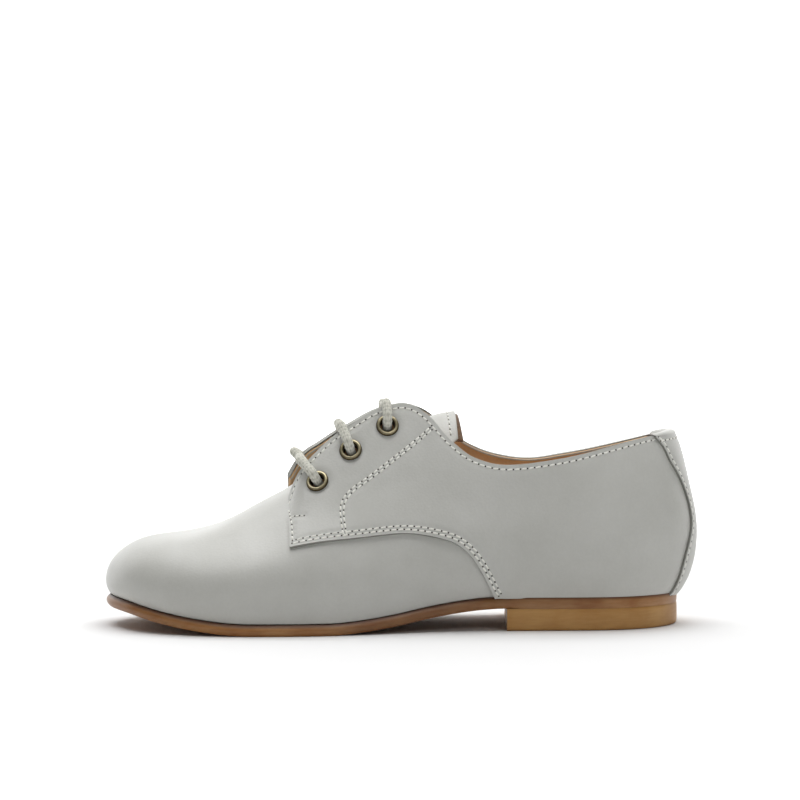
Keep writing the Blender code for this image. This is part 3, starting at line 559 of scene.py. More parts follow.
def form_point(share, side, level, sheet):
    """A point of the last's surface.

    level runs 0 at the sole, 1 at the hip, 2 at the knot and 3 at the top; the sheet is
    "facing" where the top is the quarters' edge and "vamp" where it is the top line.
    """
    if share < 0:
        share, side = -share, -side
    if share > 1:
        share, side = 2 - share, -side
    found = rib(round(share, 9), side)
    if level <= 1:
        first = math.radians(foot_start_angle)
        angle = first + level * (math.pi / 2 - first)
        out = (math.sin(angle) - math.sin(first)) / (1 - math.sin(first))
        up = 1 - math.cos(angle) / math.cos(first)
        foot, hip = found["foot"], found["hip"]
        width, height = foot[0] + out * (hip[0] - foot[0]), foot[1] + up * (hip[1] - foot[1])
    elif level <= 2:
        width, height = on_cubic(found["side"], level - 1)
    else:
        width, height = on_cubic(found[sheet], level - 2)
    heading = found["heading"]
    return Vector((found["start"] + width * heading[0], width * heading[1], height))


def form_normal(share, side, level, sheet, step=0.002):
    """Outward direction of the surface, level at the sole and upright across the top line."""
    low = max(level - step * 10, 0)
    high = min(level + step * 10, top_level)
    up = form_point(share, side, high, sheet) - form_point(share, side, low, sheet)
    along = form_point(share + step, side, level, sheet) - form_point(share - step, side, level, sheet)
    if sheet == "vamp" and level == top_level:
        along = Vector((1, 0, crest_slope(rib_stance(abs(share))[0])))
        return Vector((-along.z, 0, 1)).normalized()
    normal = along.cross(up) * -side
    if level == 0:
        normal.z = 0
    return normal.normalized()


def level_at(share, side, height, sheet):
    """Level at which a rib passes a height."""
    low, high = 0.0, top_level
    for _ in range(30):
        middle = (low + high) / 2
        if form_point(share, side, middle, sheet).z < height:
            low = middle
        else:
            high = middle
    return low


def settle(target, share, side, level, sheet):
    """Share and level of the surface point under a target, by repeated small moves."""
    step = 0.001
    for _ in range(8):
        point = form_point(share, side, level, sheet)
        along = (form_point(share + step, side, level, sheet) - point) / step
        up = (point - form_point(share, side, level - step, sheet)) / step
        miss = target - point
        grid = np.array([[along.dot(along), along.dot(up)], [along.dot(up), up.dot(up)]])
        move = np.linalg.solve(grid, [miss.dot(along), miss.dot(up)])
        share += move[0]
        level = min(level + move[1], top_level)
    return share, level


def edge_point(x, side):
    """Place on the quarters' top edge."""
    return form_point(round_at(x), side, top_level, "facing")


def edge_ways(x, side, step=0.0002):
    """Outward direction at the top edge, and the direction down the facing from it."""
    along = (edge_point(x + step, side) - edge_point(x - step, side)).normalized()
    outward = form_normal(round_at(x), side, top_level, "facing")
    return outward, outward.cross(along) * side


# An eyelet's seat: the edge where its lace crosses, its place and its outward direction, then the
# outward and upward directions at that edge
Seat = namedtuple("Seat", "edge place way edge_way upward")


@lru_cache(maxsize=None)
def eyelet_seats(side):
    """Seats of one side's eyelets, from the front."""
    seats = []
    for along, setback, lateral, medial, _ in EYELET_ROWS:
        crossing = (lateral if side == LATERAL else medial) * shoe_length
        x = along * shoe_length
        guess = edge_point(x, side) + edge_ways(x, side)[1] * setback * eyelet_setback
        share, level = settle(guess, round_at(x), side, eyelet_level, "facing")
        place = form_point(share, side, level, "facing")
        way = form_normal(share, side, level, "facing")
        edge_way, down = edge_ways(crossing, side)
        seats.append(Seat(edge_point(crossing, side), place, way, edge_way, -down))
    return tuple(seats)


# Stitches and needle holes
stitch_pitch = 0.0022
thread_width = 0.00058
hole_width = 0.00054
row_depth = 0.00016
row_softness = 0.0008
edge_margin = 0.0015
front_margin = 0.0010
seam_margin = 0.0012
seam_rows_apart = 0.00112
eyestay_rows_apart = 0.0010
strip_margin = 0.0011
tongue_margin = 0.0026
row_end_gap = 0.0008
tack_pitch = 0.75 * stitch_pitch
throat_row_run = 0.0052

# One stitch, in shares of its length: the way in from its needle hole. In shares of the thread's width:
# its slant, rise and depth in the trough, its width at the ends and its flatness. Then its arch's fullness
stitch_end = 0.09
stitch_slant = 0.3
stitch_rise = 0.42
stitch_sink = 0.35
stitch_end_width = 0.72
stitch_flatness = 0.8
stitch_fullness = 0.6

# Lifts of a needle hole's middle and of its rim over the trough's floor
hole_middle_lift = 0.00002
hole_rim_lift = 0.00005

# Leather layers, as heights over the last's surface
leather_wall = 0.0013
lining_outer = quarter_step - leather_wall - 0.0001
lining_wall = 0.0008
vamp_lining_wall = 0.0004
edge_rounding = 0.00055
panel_edge_angle = 50
suede_wall = 0.0010
suede_past_end = 0.0018
suede_end_curve = 0.0013
tongue_end_curve = 0.0005

# How many levels below the top the quarters' lining and the back strip's outer face end
lining_stop = 0.02
strip_stop = 0.055

# Levels between which the back strip's side rows run. Its fold over the collar: the rise past the
# strip's end, the depth of the inner side, and the angle at which it starts, in radians
strip_row_levels = (0.02, 2.97)
strip_fold_rise = 0.0011
strip_fold_depth = 0.0022
strip_fold_start = 0.15

# Leather pressed in round an eyelet: how deep and how far from the flange. Then the barrel's stop
# below the leather's surface, and a power that fills out the flange's roll
eyelet_press = 0.00025
eyelet_press_reach = 0.0012
barrel_stop = 0.0001
flange_fullness = 0.8

# The sole's edge: how far its corners draw in as a share of its thickness, its fullest place as a share
# of the way up, its arc as a share of a half circle, and a power that squares it
sole_rounding = 0.34
sole_fullest = 0.45
sole_arc = 0.92
sole_squareness = 1.1

# The heel: its clearance to the sole, how much painted contact shadow darkens its lower rim, and how fast
# that fades going up
heel_joint = 0.00005
heel_rim_shade = 0.8
heel_rim_shade_fade = 14

# Line of the stay behind the eyelets: along the shoe and height, both from the sole's toe tip
EYESTAY_ROWS = (
    (0.0749, 0.0303),
    (0.0742, 0.0366),
    (0.0745, 0.0396),
    (0.0771, 0.0435),
    (0.0816, 0.0468),
    (0.0899, 0.0529),
    (0.0985, 0.0593),
    (0.1036, 0.0636),
)
# Bar tack at the front edge of the facing
BAR_TACK_ROWS = (
    (0.0592, 0.0352),
    (0.0632, 0.0359),
)

# How far each bar of the lace presses into the facings' edges, from the front
LACE_PRESSED = (0.0, 0.0003, 0.0008)

# The lace's way out of an eyelet: its depth in the bore as a share of the wall, its steps towards the
# facing's edge at the mouth, past the rim and half way, its rise at the mouth, and the shares of the
# lip that it clears past the rim and half way
lace_in_bore = 0.3
lace_mouth_step = 0.0006
lace_rim_step = 0.0020
lace_half_step = 0.0012
lace_mouth_rise = 0.0010
lace_rim_lift = 0.4
lace_half_lift = 0.6

# The lace's hidden runs: their depth under the facings, the drop of the long one, the length of the
# first end and the last end's share of the way between two eyelets; then the places per lace width
hidden_depth = 0.0012
hidden_drop = 0.0034
first_end = 0.0070
last_end_share = 0.45
lace_fineness = 14

# The braid: yarns each way, run between their crossings, roundness, radius between them and their rise
braid_yarns = 6
braid_crossing = 0.0024
yarn_roundness = 0.7
braid_floor = 0.90
yarn_rise = 0.13

# Painted shade on the sole's edge, darkest at the waist and less at the toe tip and the heel seat: along
# the sole's length, how strong it is
PAINTED_SHADE_ROWS = (
    (0.00, 0.42),
    (0.10, 0.30),
    (0.22, 0.00),
    (0.34, 0.08),
    (0.45, 0.55),
    (0.58, 0.62),
    (0.68, 0.42),
    (0.82, 0.30),
    (0.92, 0.06),
    (1.00, 0.06),
)

# How far into its rise from nothing a crease starts, and ends, as a share of its length
crease_end = 0.1

# Soft creases: the first and last place of each (along the shoe, height), its half width and its depth
CREASE_ROWS = (
    (0.0650, 0.0215, 0.0860, 0.0250, 0.0040, 0.00035),
    (0.0840, 0.0120, 0.1020, 0.0165, 0.0045, 0.00030),
    (0.0420, 0.0285, 0.0560, 0.0330, 0.0050, 0.00030),
    (0.0250, 0.0110, 0.0400, 0.0090, 0.0050, -0.00020),
    (0.1050, 0.0400, 0.1300, 0.0360, 0.0050, 0.00030),
    (0.1420, 0.0300, 0.1600, 0.0260, 0.0060, 0.00025),
    (0.0840, 0.0420, 0.0980, 0.0490, 0.0035, 0.00025),
)


# Meshes and how they are laid on the last
def new_object(name, mesh):
    """An object in the scene."""
    thing = bpy.data.objects.new(name, mesh)
    bpy.context.collection.objects.link(thing)
    return thing


def mesh_piece(name, points, faces, sharp_angle=40):
    """A mesh piece, smooth except where its faces meet at a sharp angle."""
    mesh = bpy.data.meshes.new(name)
    mesh.from_pydata([tuple(point) for point in points], [], faces)
    mesh.shade_smooth()
    mesh.set_sharp_from_angle(angle=math.radians(sharp_angle))
    return new_object(name, mesh)


def move_to_middle():
    """Move from the sole's toe tip to the middle of the upper's hips, the shoe's widest places."""
    front = form_point(0, LATERAL, 1, "vamp").x
    back = form_point(1, LATERAL, 1, "facing").x + quarter_step + strip_step
    ball_stations = np.linspace(0.15, 0.5, 36)
    lateral = min(form_point(share, LATERAL, 1, "vamp").y for share in ball_stations)
    medial = max(form_point(share, MEDIAL, 1, "vamp").y for share in ball_stations)
    return Vector((-(front + back) / 2, -(lateral + medial) / 2, 0))


SHOE_MOVE = move_to_middle()


def dress(piece, material, slot, *nodes):
    """Finish a piece and let it ride on the shoe; the nodes are the solids that it stands for."""
    piece.data.materials.append(material)
    piece.location = piece.location + SHOE_MOVE
    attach(piece, "root")
    if nodes:
        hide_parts(*nodes)


class Patch:
    """Part of the last's surface as a grid: one column of points for each station."""

    def __init__(self, points, ways):
        self.points = points
        self.ways = ways
        self.faces = grid_faces(*points.shape[:2])
        flat = [Vector(point) for point in points.reshape(-1, 3)]
        self.tree = BVHTree.FromPolygons(flat, self.faces)

    def snap(self, target):
        """Nearest surface point and its outward direction."""
        place, _, face, _ = self.tree.find_nearest(target)
        way = Vector(self.ways.reshape(-1, 3)[list(self.faces[face])].mean(axis=0)).normalized()
        return place, way


def grid_faces(columns, rows):
    """Faces between the columns of a grid."""
    faces = []
    for i in range(columns - 1):
        for j in range(rows - 1):
            corner = i * rows + j
            faces.append((corner, corner + rows, corner + rows + 1, corner + 1))
    return faces


def ring_faces(rings, around, first=0, closed=False):
    """Faces between rings of points that are laid one after the other."""
    faces = []
    for ring in range(rings if closed else rings - 1):
        low = first + ring * around
        high = first + (ring + 1) % rings * around
        for n in range(around):
            m = (n + 1) % around
            faces.append((low + n, low + m, high + m, high + n))
    return faces


def ring_ways(aside, other, around):
    """Directions to the points of a ring."""
    angles = [2 * math.pi * n / around for n in range(around)]
    return [aside * math.cos(angle) + other * math.sin(angle) for angle in angles]


def outward(points, side):
    """Outward directions of a grid whose first column stands on the given side."""
    along = np.gradient(points, axis=0)
    up = np.gradient(points, axis=1)
    ways = np.cross(along, up)
    ways /= np.maximum(np.linalg.norm(ways, axis=2, keepdims=True), 1e-12)
    if ways[1, points.shape[1] // 3, 1] * side < 0:
        ways = -ways
    return ways


def form_patch(stations, levels_for, sheet):
    """A patch of the last between two levels of each station's rib."""
    points = np.array([
        [form_point(share, side, level, sheet) for level in levels_for(share, side)]
        for share, side in stations])
    ways = outward(points, stations[0][1])
    if sheet == "vamp":
        for i, (share, side) in enumerate(stations):
            if levels_for(share, side)[-1] == top_level:
                slope = crest_slope(rib_stance(share)[0])
                ways[i, -1] = Vector((-slope, 0, 1)).normalized()
    return Patch(points, ways)


def crease_depths(points):
    """How deep each point lies in the soft creases."""
    depths = np.zeros(points.shape[:-1])
    for first_x, first_z, last_x, last_z, half_width, depth in CREASE_ROWS:
        start = np.array([first_x, first_z])
        run = np.array([last_x, last_z]) - start
        offset = points[..., [0, 2]] - start
        part = np.clip(offset @ run / (run @ run), 0, 1)
        away = np.linalg.norm(offset - part[..., None] * run, axis=-1)
        along = crease_end + (1 - 2 * crease_end) * part
        depths += depth * np.exp(-(away / half_width) ** 2) * np.sin(math.pi * along)
    return depths


def row_depths(points, rows):
    """How deep each point lies in the troughs that the stitch rows pull into the leather."""
    laid = [place for row in rows for place, _ in row]
    tree = KDTree(len(laid))
    for i, place in enumerate(laid):
        tree.insert(place, i)
    tree.balance()
    away = np.array([tree.find(point)[2] for point in points.reshape(-1, 3)])
    away = np.maximum(away.reshape(points.shape[:-1]) - stitch_pitch / 4, 0)
    return row_depth * np.exp(-(away / row_softness) ** 2)


def eyelet_depths(points, seats):
    """How deep the leather is pressed in round each eyelet."""
    depths = np.zeros(points.shape[:-1])
    for seat in seats:
        away = np.linalg.norm(points - np.array(seat.place), axis=-1)
        depths += eyelet_press * np.exp(-((away - eyelet_width / 2) / eyelet_press_reach) ** 2)
    return depths


def leather_panel(name, patch, lift, wall, sunk, holes=()):
    """A leather panel: an outer face over the patch, with its edge turned down to its wall's depth.

    sunk is how deep each point lies, and holes are (place, width) left open.
    """
    ways = patch.ways.reshape(-1, 3)
    base = patch.points.reshape(-1, 3)
    outer = base + ways * (lift - np.asarray(sunk).reshape(-1, 1))
    kept = patch.faces
    for place, width in holes:
        near = np.linalg.norm(base - np.array(place), axis=1) < width / 2
        kept = [face for face in kept if not any(near[list(face)])]
    keys = np.round(base, 6)
    first = {}
    joined = [first.setdefault(tuple(key), i) for i, key in enumerate(keys)]
    faces = []
    for face in kept:
        corners = [joined[corner] for corner in face]
        corners = [corner for n, corner in enumerate(corners) if corner != corners[n - 1]]
        if len(corners) > 2:
            faces.append(corners)
    ends = {}
    for face in faces:
        for a, b in zip(face, face[1:] + face[:1]):
            ends.setdefault(frozenset((a, b)), []).append((a, b))
    rim = [found[0] for found in ends.values() if len(found) == 1]
    turned = {}
    for corner in sorted({corner for edge in rim for corner in edge}):
        turned[corner] = len(outer) + len(turned)
    below = [base[corner] + ways[corner] * (lift - wall) for corner in turned]
    faces += [[b, a, turned[a], turned[b]] for a, b in rim]
    piece = mesh_piece(name, list(outer) + below, faces, panel_edge_angle)
    rows = patch.points.shape[1]
    for face, (a, b) in zip(piece.data.polygons[-len(rim):], rim):
        # Rim faces along the first row take the second material, the darker cut-edge grey, which is partly
        # painted shade
        face.material_index = int(a % rows == 0 and b % rows == 0)
    soften_edges(piece)
    return piece


def turn_faces_out(piece):
    """Drop points that have no face and turn every face outwards."""
    clean = bmesh.new()
    clean.from_mesh(piece.data)
    loose = [point for point in clean.verts if not point.link_faces]
    bmesh.ops.delete(clean, geom=loose, context="VERTS")
    bmesh.ops.recalc_face_normals(clean, faces=clean.faces)
    clean.to_mesh(piece.data)
    clean.free()


def soften_edges(piece):
    """Round a piece's sharp edges, as a skiving knife and a hammer leave them."""
    turn_faces_out(piece)
    rounding = piece.modifiers.new("Rounding", "BEVEL")
    rounding.width = edge_rounding
    rounding.segments = 3
    rounding.limit_method = "ANGLE"
    rounding.angle_limit = math.radians(panel_edge_angle)
    rounding.harden_normals = False


def line_beside(patch, edge, inside, margin):
    """A line on the patch beside an edge, at a margin towards the inside point."""
    found = []
    for i, place in enumerate(edge):
        ahead = edge[min(i + 1, len(edge) - 1)] - edge[max(i - 1, 0)]
        on_edge, way = patch.snap(place)
        found.append((on_edge, way.cross(ahead).normalized()))
    leaning = sum(aside.dot(inside - place) for place, aside in found)
    moved = margin if leaning > 0 else -margin
    return [patch.snap(place + aside * moved)[0] for place, aside in found]


def even_places(line, pitch, end=0.0):
    """Places along a line at an even pitch, with a length left free at its end."""
    laid = np.array([tuple(place) for place in line])
    run = run_along(laid)
    count = max(int(round((run[-1] - end) / pitch)), 1)
    wanted = np.linspace(0, run[-1] - end, count + 1)
    return [Vector([np.interp(place, run, laid[:, axis]) for axis in range(3)]) for place in wanted]


def stitch_row(patch, line, pitch=stitch_pitch, end=0.0):
    """Needle holes of a row as (place, outward direction) on the patch."""
    return [patch.snap(place) for place in even_places(line, pitch, end)]


def thread_mesh(rows, floor):
    """Points and faces of every stitch of the rows, each from needle hole to needle hole."""
    rings = 8
    around = 8
    points = []
    faces = []
    for row in rows:
        for (start, start_way), (end, end_way) in zip(row, row[1:]):
            way = (start_way + end_way).normalized()
            run = end - start
            aside = way.cross(run).normalized()
            out_ways = ring_ways(aside, way * stitch_flatness, around)
            faces += ring_faces(rings, around, len(points))
            for part in np.linspace(0, 1, rings):
                arch = math.sin(math.pi * part) ** stitch_fullness
                slant = (part - 0.5) * thread_width * stitch_slant
                middle = start + run * (stitch_end + (1 - 2 * stitch_end) * part) + aside * slant
                middle += way * (floor + thread_width * (stitch_rise * arch - stitch_sink))
                swell = stitch_end_width + (1 - stitch_end_width) * arch
                points += [middle + out * thread_width / 2 * swell for out in out_ways]
    return points, faces


def hole_mesh(rows, floor):
    """Points and faces of the dark needle holes."""
    around = 10
    points = []
    faces = []
    for place, way in [hole for row in rows for hole in row]:
        aside = way.orthogonal().normalized()
        base = len(points)
        points.append(place + way * (floor + hole_middle_lift))
        for out in ring_ways(aside, way.cross(aside), around):
            points.append(place + out * hole_width / 2 + way * (floor + hole_rim_lift))
        for n in range(around):
            faces.append((base, base + 1 + n, base + 1 + (n + 1) % around))
    return points, faces


def sew(name, rows, lift, slot="upper_leather"):
    """Thread and needle holes of the rows, standing on leather at the given lift."""
    floor = lift - row_depth
    dress(mesh_piece(f"{name}_thread", *thread_mesh(rows, floor)), THREAD, slot)
    dress(mesh_piece(f"{name}_holes", *hole_mesh(rows, floor)), NEEDLE_HOLE, slot)


# Materials
def linear(hex_colour):
    """An sRGB hex colour as linear light."""
    parts = [int(hex_colour[i:i + 2], 16) / 255 for i in (1, 3, 5)]
    light = [part / 12.92 if part <= 0.04045 else ((part + 0.055) / 1.055) ** 2.4 for part in parts]
    return (*light, 1.0)


def wire(tree, node, inputs):
    """Set a node's inputs; each is a value, or a socket to link."""
    for name, value in inputs.items():
        if isinstance(value, bpy.types.NodeSocket):
            tree.links.new(value, node.inputs[name])
        else:
            node.inputs[name].default_value = value


def add_node(tree, kind, settings, inputs):
    """Add a shader node with its settings and inputs."""
    node = tree.nodes.new(f"ShaderNode{kind}")
    for name, value in settings.items():
        setattr(node, name, value)
    wire(tree, node, inputs)
    return node


def new_material(name, values):
    """A material, its node tree, its shader and its place socket; values are the shader's own."""
    material = bpy.data.materials.new(name)
    material.use_nodes = True
    tree = material.node_tree
    shader = tree.nodes["Principled BSDF"]
    wire(tree, shader, values)
    place = add_node(tree, "TexCoord", {}, {}).outputs["Object"]
    return material, tree, shader, place


def per_metre(millimetres):
    """Texture scale that repeats a pattern at a real size."""
    return 1000 / millimetres


# Node sockets of a colour mix, which Blender numbers
MIX_SHARE, MIX_FIRST, MIX_SECOND, MIX_RESULT = 0, 6, 7, 2


def calf_leather(name="pigmented_calf_leather", light="#C3C3BE", dark="#B7B7B1", roughness=0.42):
    """Calf split and buffed, then sprayed with pigment: even pale grey with a tight, shallow grain
    and a soft satin gloss that breaks up a little from place to place."""
    material, tree, shader, place = new_material(name, {
        "IOR": 1.5,
        "Coat Weight": 0.12,
        "Coat Roughness": 0.32,
        "Sheen Weight": 0.04,
        "Sheen Roughness": 0.4})
    cloud = add_node(tree, "TexNoise", {}, {
        "Vector": place, "Scale": per_metre(22), "Detail": 3.0, "Roughness": 0.55})
    fleck = add_node(tree, "TexNoise", {}, {
        "Vector": place, "Scale": per_metre(0.9), "Detail": 2.0, "Roughness": 0.6})
    shade = add_node(tree, "Math", {"operation": "MULTIPLY_ADD"}, {
        0: fleck.outputs["Fac"], 1: 0.35, 2: cloud.outputs["Fac"]})
    spread = add_node(tree, "MapRange", {}, {
        "Value": shade.outputs[0], "From Min": 0.42, "From Max": 0.92})
    colour = add_node(tree, "Mix", {"data_type": "RGBA"}, {
        MIX_SHARE: spread.outputs["Result"], MIX_FIRST: linear(light), MIX_SECOND: linear(dark)})
    gloss = add_node(tree, "MapRange", {}, {
        "Value": cloud.outputs["Fac"], "From Min": 0.3, "From Max": 0.7,
        "To Min": roughness - 0.05, "To Max": roughness + 0.06})
    grain = add_node(tree, "TexVoronoi", {"feature": "SMOOTH_F1"}, {
        "Vector": place, "Scale": per_metre(0.75), "Smoothness": 0.7, "Randomness": 0.95})
    pores = add_node(tree, "TexNoise", {}, {
        "Vector": place, "Scale": per_metre(0.4), "Detail": 3.0, "Roughness": 0.6})
    height = add_node(tree, "Math", {"operation": "MULTIPLY_ADD"}, {
        0: pores.outputs["Fac"], 1: 0.45, 2: grain.outputs["Distance"]})
    bump = add_node(tree, "Bump", {}, {
        "Strength": 0.22, "Distance": 0.00016, "Height": height.outputs[0]})
    wire(tree, shader, {
        "Base Color": colour.outputs[MIX_RESULT], "Roughness": gloss.outputs["Result"],
        "Normal": bump.outputs["Normal"]})
    return material


def lining_leather():
    """Vegetable-tanned pigskin lining, undyed: matt tan with scattered pores and a faint cloud."""
    material, tree, shader, place = new_material("vegetable_tanned_lining", {
        "IOR": 1.48, "Sheen Weight": 0.15, "Sheen Roughness": 0.5})
    cloud = add_node(tree, "TexNoise", {}, {
        "Vector": place, "Scale": per_metre(9), "Detail": 4.0, "Roughness": 0.6})
    colour = add_node(tree, "Mix", {"data_type": "RGBA"}, {
        MIX_SHARE: cloud.outputs["Fac"], MIX_FIRST: linear("#E6C49A"), MIX_SECOND: linear("#C79C6E")})
    gloss = add_node(tree, "MapRange", {}, {
        "Value": cloud.outputs["Fac"], "To Min": 0.58, "To Max": 0.8})
    pores = add_node(tree, "TexVoronoi", {"feature": "F1"}, {
        "Vector": place, "Scale": per_metre(1.1), "Randomness": 1.0})
    nap = add_node(tree, "TexNoise", {}, {
        "Vector": place, "Scale": per_metre(0.35), "Detail": 3.0})
    height = add_node(tree, "Math", {"operation": "MULTIPLY_ADD"}, {
        0: nap.outputs["Fac"], 1: 0.6, 2: pores.outputs["Distance"]})
    bump = add_node(tree, "Bump", {}, {
        "Strength": 0.35, "Distance": 0.0002, "Height": height.outputs[0]})
    wire(tree, shader, {
        "Base Color": colour.outputs[MIX_RESULT], "Roughness": gloss.outputs["Result"],
        "Normal": bump.outputs["Normal"]})
    return material


def suede():
    """The flesh side of the tongue's backing, left as a brown nap: soft fibres, no gloss."""
    material, tree, shader, place = new_material("brown_suede_nap", {
        "Roughness": 0.95, "IOR": 1.45, "Sheen Weight": 0.5, "Sheen Roughness": 0.5})
    cloud = add_node(tree, "TexNoise", {}, {
        "Vector": place, "Scale": per_metre(2.4), "Detail": 4.0, "Roughness": 0.7})
    colour = add_node(tree, "Mix", {"data_type": "RGBA"}, {
        MIX_SHARE: cloud.outputs["Fac"], MIX_FIRST: linear("#8A6A4C"), MIX_SECOND: linear("#533B28")})
    nap = add_node(tree, "TexNoise", {}, {
        "Vector": place, "Scale": per_metre(0.3), "Detail": 4.0, "Roughness": 0.75})
    bump = add_node(tree, "Bump", {}, {
        "Strength": 0.8, "Distance": 0.0003, "Height": nap.outputs["Fac"]})
    wire(tree, shader, {"Base Color": colour.outputs[MIX_RESULT], "Normal": bump.outputs["Normal"]})
    return material


def sole_leather(name, light, dark, burnish_and_shade, roughness, band):
    """Vegetable-tanned sole leather, trimmed, then waxed and rubbed on a wheel: tan with fibres that
    run along the edge. It darkens towards the top of the edge, partly burnish and partly painted shade
    where the edge meets the piece above, and wherever a stored value paints shade; band names the
    heights that darken."""
    material, tree, shader, place = new_material(name, {
        "IOR": 1.5, "Coat Weight": 0.12, "Coat Roughness": 0.3})
    stretched = add_node(tree, "Mapping", {}, {"Vector": place, "Scale": (0.12, 0.12, 1.0)})
    fibres = add_node(tree, "TexNoise", {}, {
        "Vector": stretched.outputs[0], "Scale": per_metre(0.8), "Detail": 4.0, "Roughness": 0.65})
    cloud = add_node(tree, "TexNoise", {}, {
        "Vector": place, "Scale": per_metre(11), "Detail": 3.0})
    shade = add_node(tree, "Math", {"operation": "MULTIPLY_ADD"}, {
        0: fibres.outputs["Fac"], 1: 0.6, 2: cloud.outputs["Fac"]})
    spread = add_node(tree, "MapRange", {}, {
        "Value": shade.outputs[0], "From Min": 0.55, "From Max": 1.05})
    body = add_node(tree, "Mix", {"data_type": "RGBA"}, {
        MIX_SHARE: spread.outputs["Result"], MIX_FIRST: linear(light), MIX_SECOND: linear(dark)})
    up_edge = add_node(tree, "Attribute", {"attribute_name": "up_edge"}, {})
    # Darker towards the top of the edge: partly burnish, partly painted shade where the edge meets the
    # piece above
    burnish_and_shade_band = add_node(tree, "MapRange", {"interpolation_type": "SMOOTHSTEP"}, {
        "Value": up_edge.outputs["Fac"], "From Min": band[0], "From Max": band[1]})
    # Stored values that paint shade along the sole's edge and along the heel's lower rim
    painted_shade = add_node(tree, "Attribute", {"attribute_name": "painted_shade"}, {})
    darker = add_node(tree, "Math", {"operation": "MAXIMUM"}, {
        0: burnish_and_shade_band.outputs["Result"], 1: painted_shade.outputs["Fac"]})
    colour = add_node(tree, "Mix", {"data_type": "RGBA"}, {
        MIX_SHARE: darker.outputs[0], MIX_FIRST: body.outputs[MIX_RESULT],
        MIX_SECOND: linear(burnish_and_shade)})
    gloss = add_node(tree, "MapRange", {}, {
        "Value": shade.outputs[0], "From Min": 0.5, "From Max": 1.1,
        "To Min": roughness - 0.06, "To Max": roughness + 0.1})
    bump = add_node(tree, "Bump", {}, {
        "Strength": 0.25, "Distance": 0.00015, "Height": fibres.outputs["Fac"]})
    wire(tree, shader, {
        "Base Color": colour.outputs[MIX_RESULT], "Roughness": gloss.outputs["Result"],
        "Normal": bump.outputs["Normal"]})
    return material


def antique_brass():
    """Pressed brass darkened in a bath and relieved on the crown: bright where the roll is highest,
    brown-black towards the bore and the leather. The bright crown is also a painted highlight along the
    roll, and the dark bore and sides are also painted shade."""
    material, tree, shader, place = new_material("antiqued_brass", {"Metallic": 1.0})
    flat = add_node(tree, "VectorMath", {"operation": "MULTIPLY"}, {0: place, 1: (1.0, 1.0, 0.0)})
    radius = add_node(tree, "VectorMath", {"operation": "LENGTH"}, {0: flat.outputs["Vector"]})
    crown = (eyelet_bore + eyelet_width) / 4
    off_crown = add_node(tree, "Math", {"operation": "SUBTRACT"}, {0: radius.outputs["Value"], 1: crown})
    away = add_node(tree, "Math", {"operation": "ABSOLUTE"}, {0: off_crown.outputs[0]})
    tarnish = add_node(tree, "TexNoise", {}, {
        "Vector": place, "Scale": per_metre(1.3), "Detail": 3.0, "Roughness": 0.6})
    uneven = add_node(tree, "Math", {"operation": "MULTIPLY_ADD"}, {
        0: tarnish.outputs["Fac"], 1: 0.0003, 2: away.outputs[0]})
    # Darkness away from the crown: antiquing, and also painted shade in the bore and a painted highlight
    # on the crown
    antiqued_and_shaded = add_node(tree, "MapRange", {"interpolation_type": "SMOOTHSTEP"}, {
        "Value": uneven.outputs[0], "From Min": 0.0002, "From Max": 0.0008})
    colour = add_node(tree, "Mix", {"data_type": "RGBA"}, {
        MIX_SHARE: antiqued_and_shaded.outputs["Result"], MIX_FIRST: linear("#B3A98A"), MIX_SECOND: linear("#4A3F2C")})
    gloss = add_node(tree, "MapRange", {}, {
        "Value": antiqued_and_shaded.outputs["Result"], "To Min": 0.28, "To Max": 0.5})
    wire(tree, shader, {"Base Color": colour.outputs[MIX_RESULT], "Roughness": gloss.outputs["Result"]})
    return material


def cotton_cord():
    """Waxed cotton braid, undyed and grey: matt plaited yarns with loose fibres, and painted shade in the
    gaps between the yarns.
    """
    material, tree, shader, place = new_material("braided_cotton_cord", {
        "Roughness": 0.85, "IOR": 1.47, "Sheen Weight": 0.25, "Sheen Roughness": 0.5})
    strand = add_node(tree, "Attribute", {"attribute_name": "strand_height"}, {})
    fibre = add_node(tree, "TexNoise", {}, {
        "Vector": place, "Scale": per_metre(0.45), "Detail": 3.0, "Roughness": 0.7})
    # Low places between the yarns take the darker colour: painted shade
    shade = add_node(tree, "Math", {"operation": "MULTIPLY_ADD"}, {
        0: fibre.outputs["Fac"], 1: 0.7, 2: strand.outputs["Fac"]})
    spread = add_node(tree, "MapRange", {}, {
        "Value": shade.outputs[0], "From Min": 0.3, "From Max": 1.15})
    colour = add_node(tree, "Mix", {"data_type": "RGBA"}, {
        MIX_SHARE: spread.outputs["Result"], MIX_FIRST: linear("#8E8E80"), MIX_SECOND: linear("#D2D1C6")})
    bump = add_node(tree, "Bump", {}, {
        "Strength": 0.5, "Distance": 0.00012, "Height": fibre.outputs["Fac"]})
    wire(tree, shader, {"Base Color": colour.outputs[MIX_RESULT], "Normal": bump.outputs["Normal"]})
    return material


def sewing_thread():
    """Bonded polyester thread, off-white: smooth, faintly shiny twisted yarn."""
    material, tree, shader, place = new_material("bonded_polyester_thread", {
        "Roughness": 0.55, "IOR": 1.53, "Sheen Weight": 0.1})
    twist = add_node(tree, "TexNoise", {}, {
        "Vector": place, "Scale": per_metre(0.5), "Detail": 2.0})
    colour = add_node(tree, "Mix", {"data_type": "RGBA"}, {
        MIX_SHARE: twist.outputs["Fac"], MIX_FIRST: linear("#F7F6F0"), MIX_SECOND: linear("#DBDAD1")})
    bump = add_node(tree, "Bump", {}, {
        "Strength": 0.4, "Distance": 0.00008, "Height": twist.outputs["Fac"]})
    wire(tree, shader, {"Base Color": colour.outputs[MIX_RESULT], "Normal": bump.outputs["Normal"]})
    return material


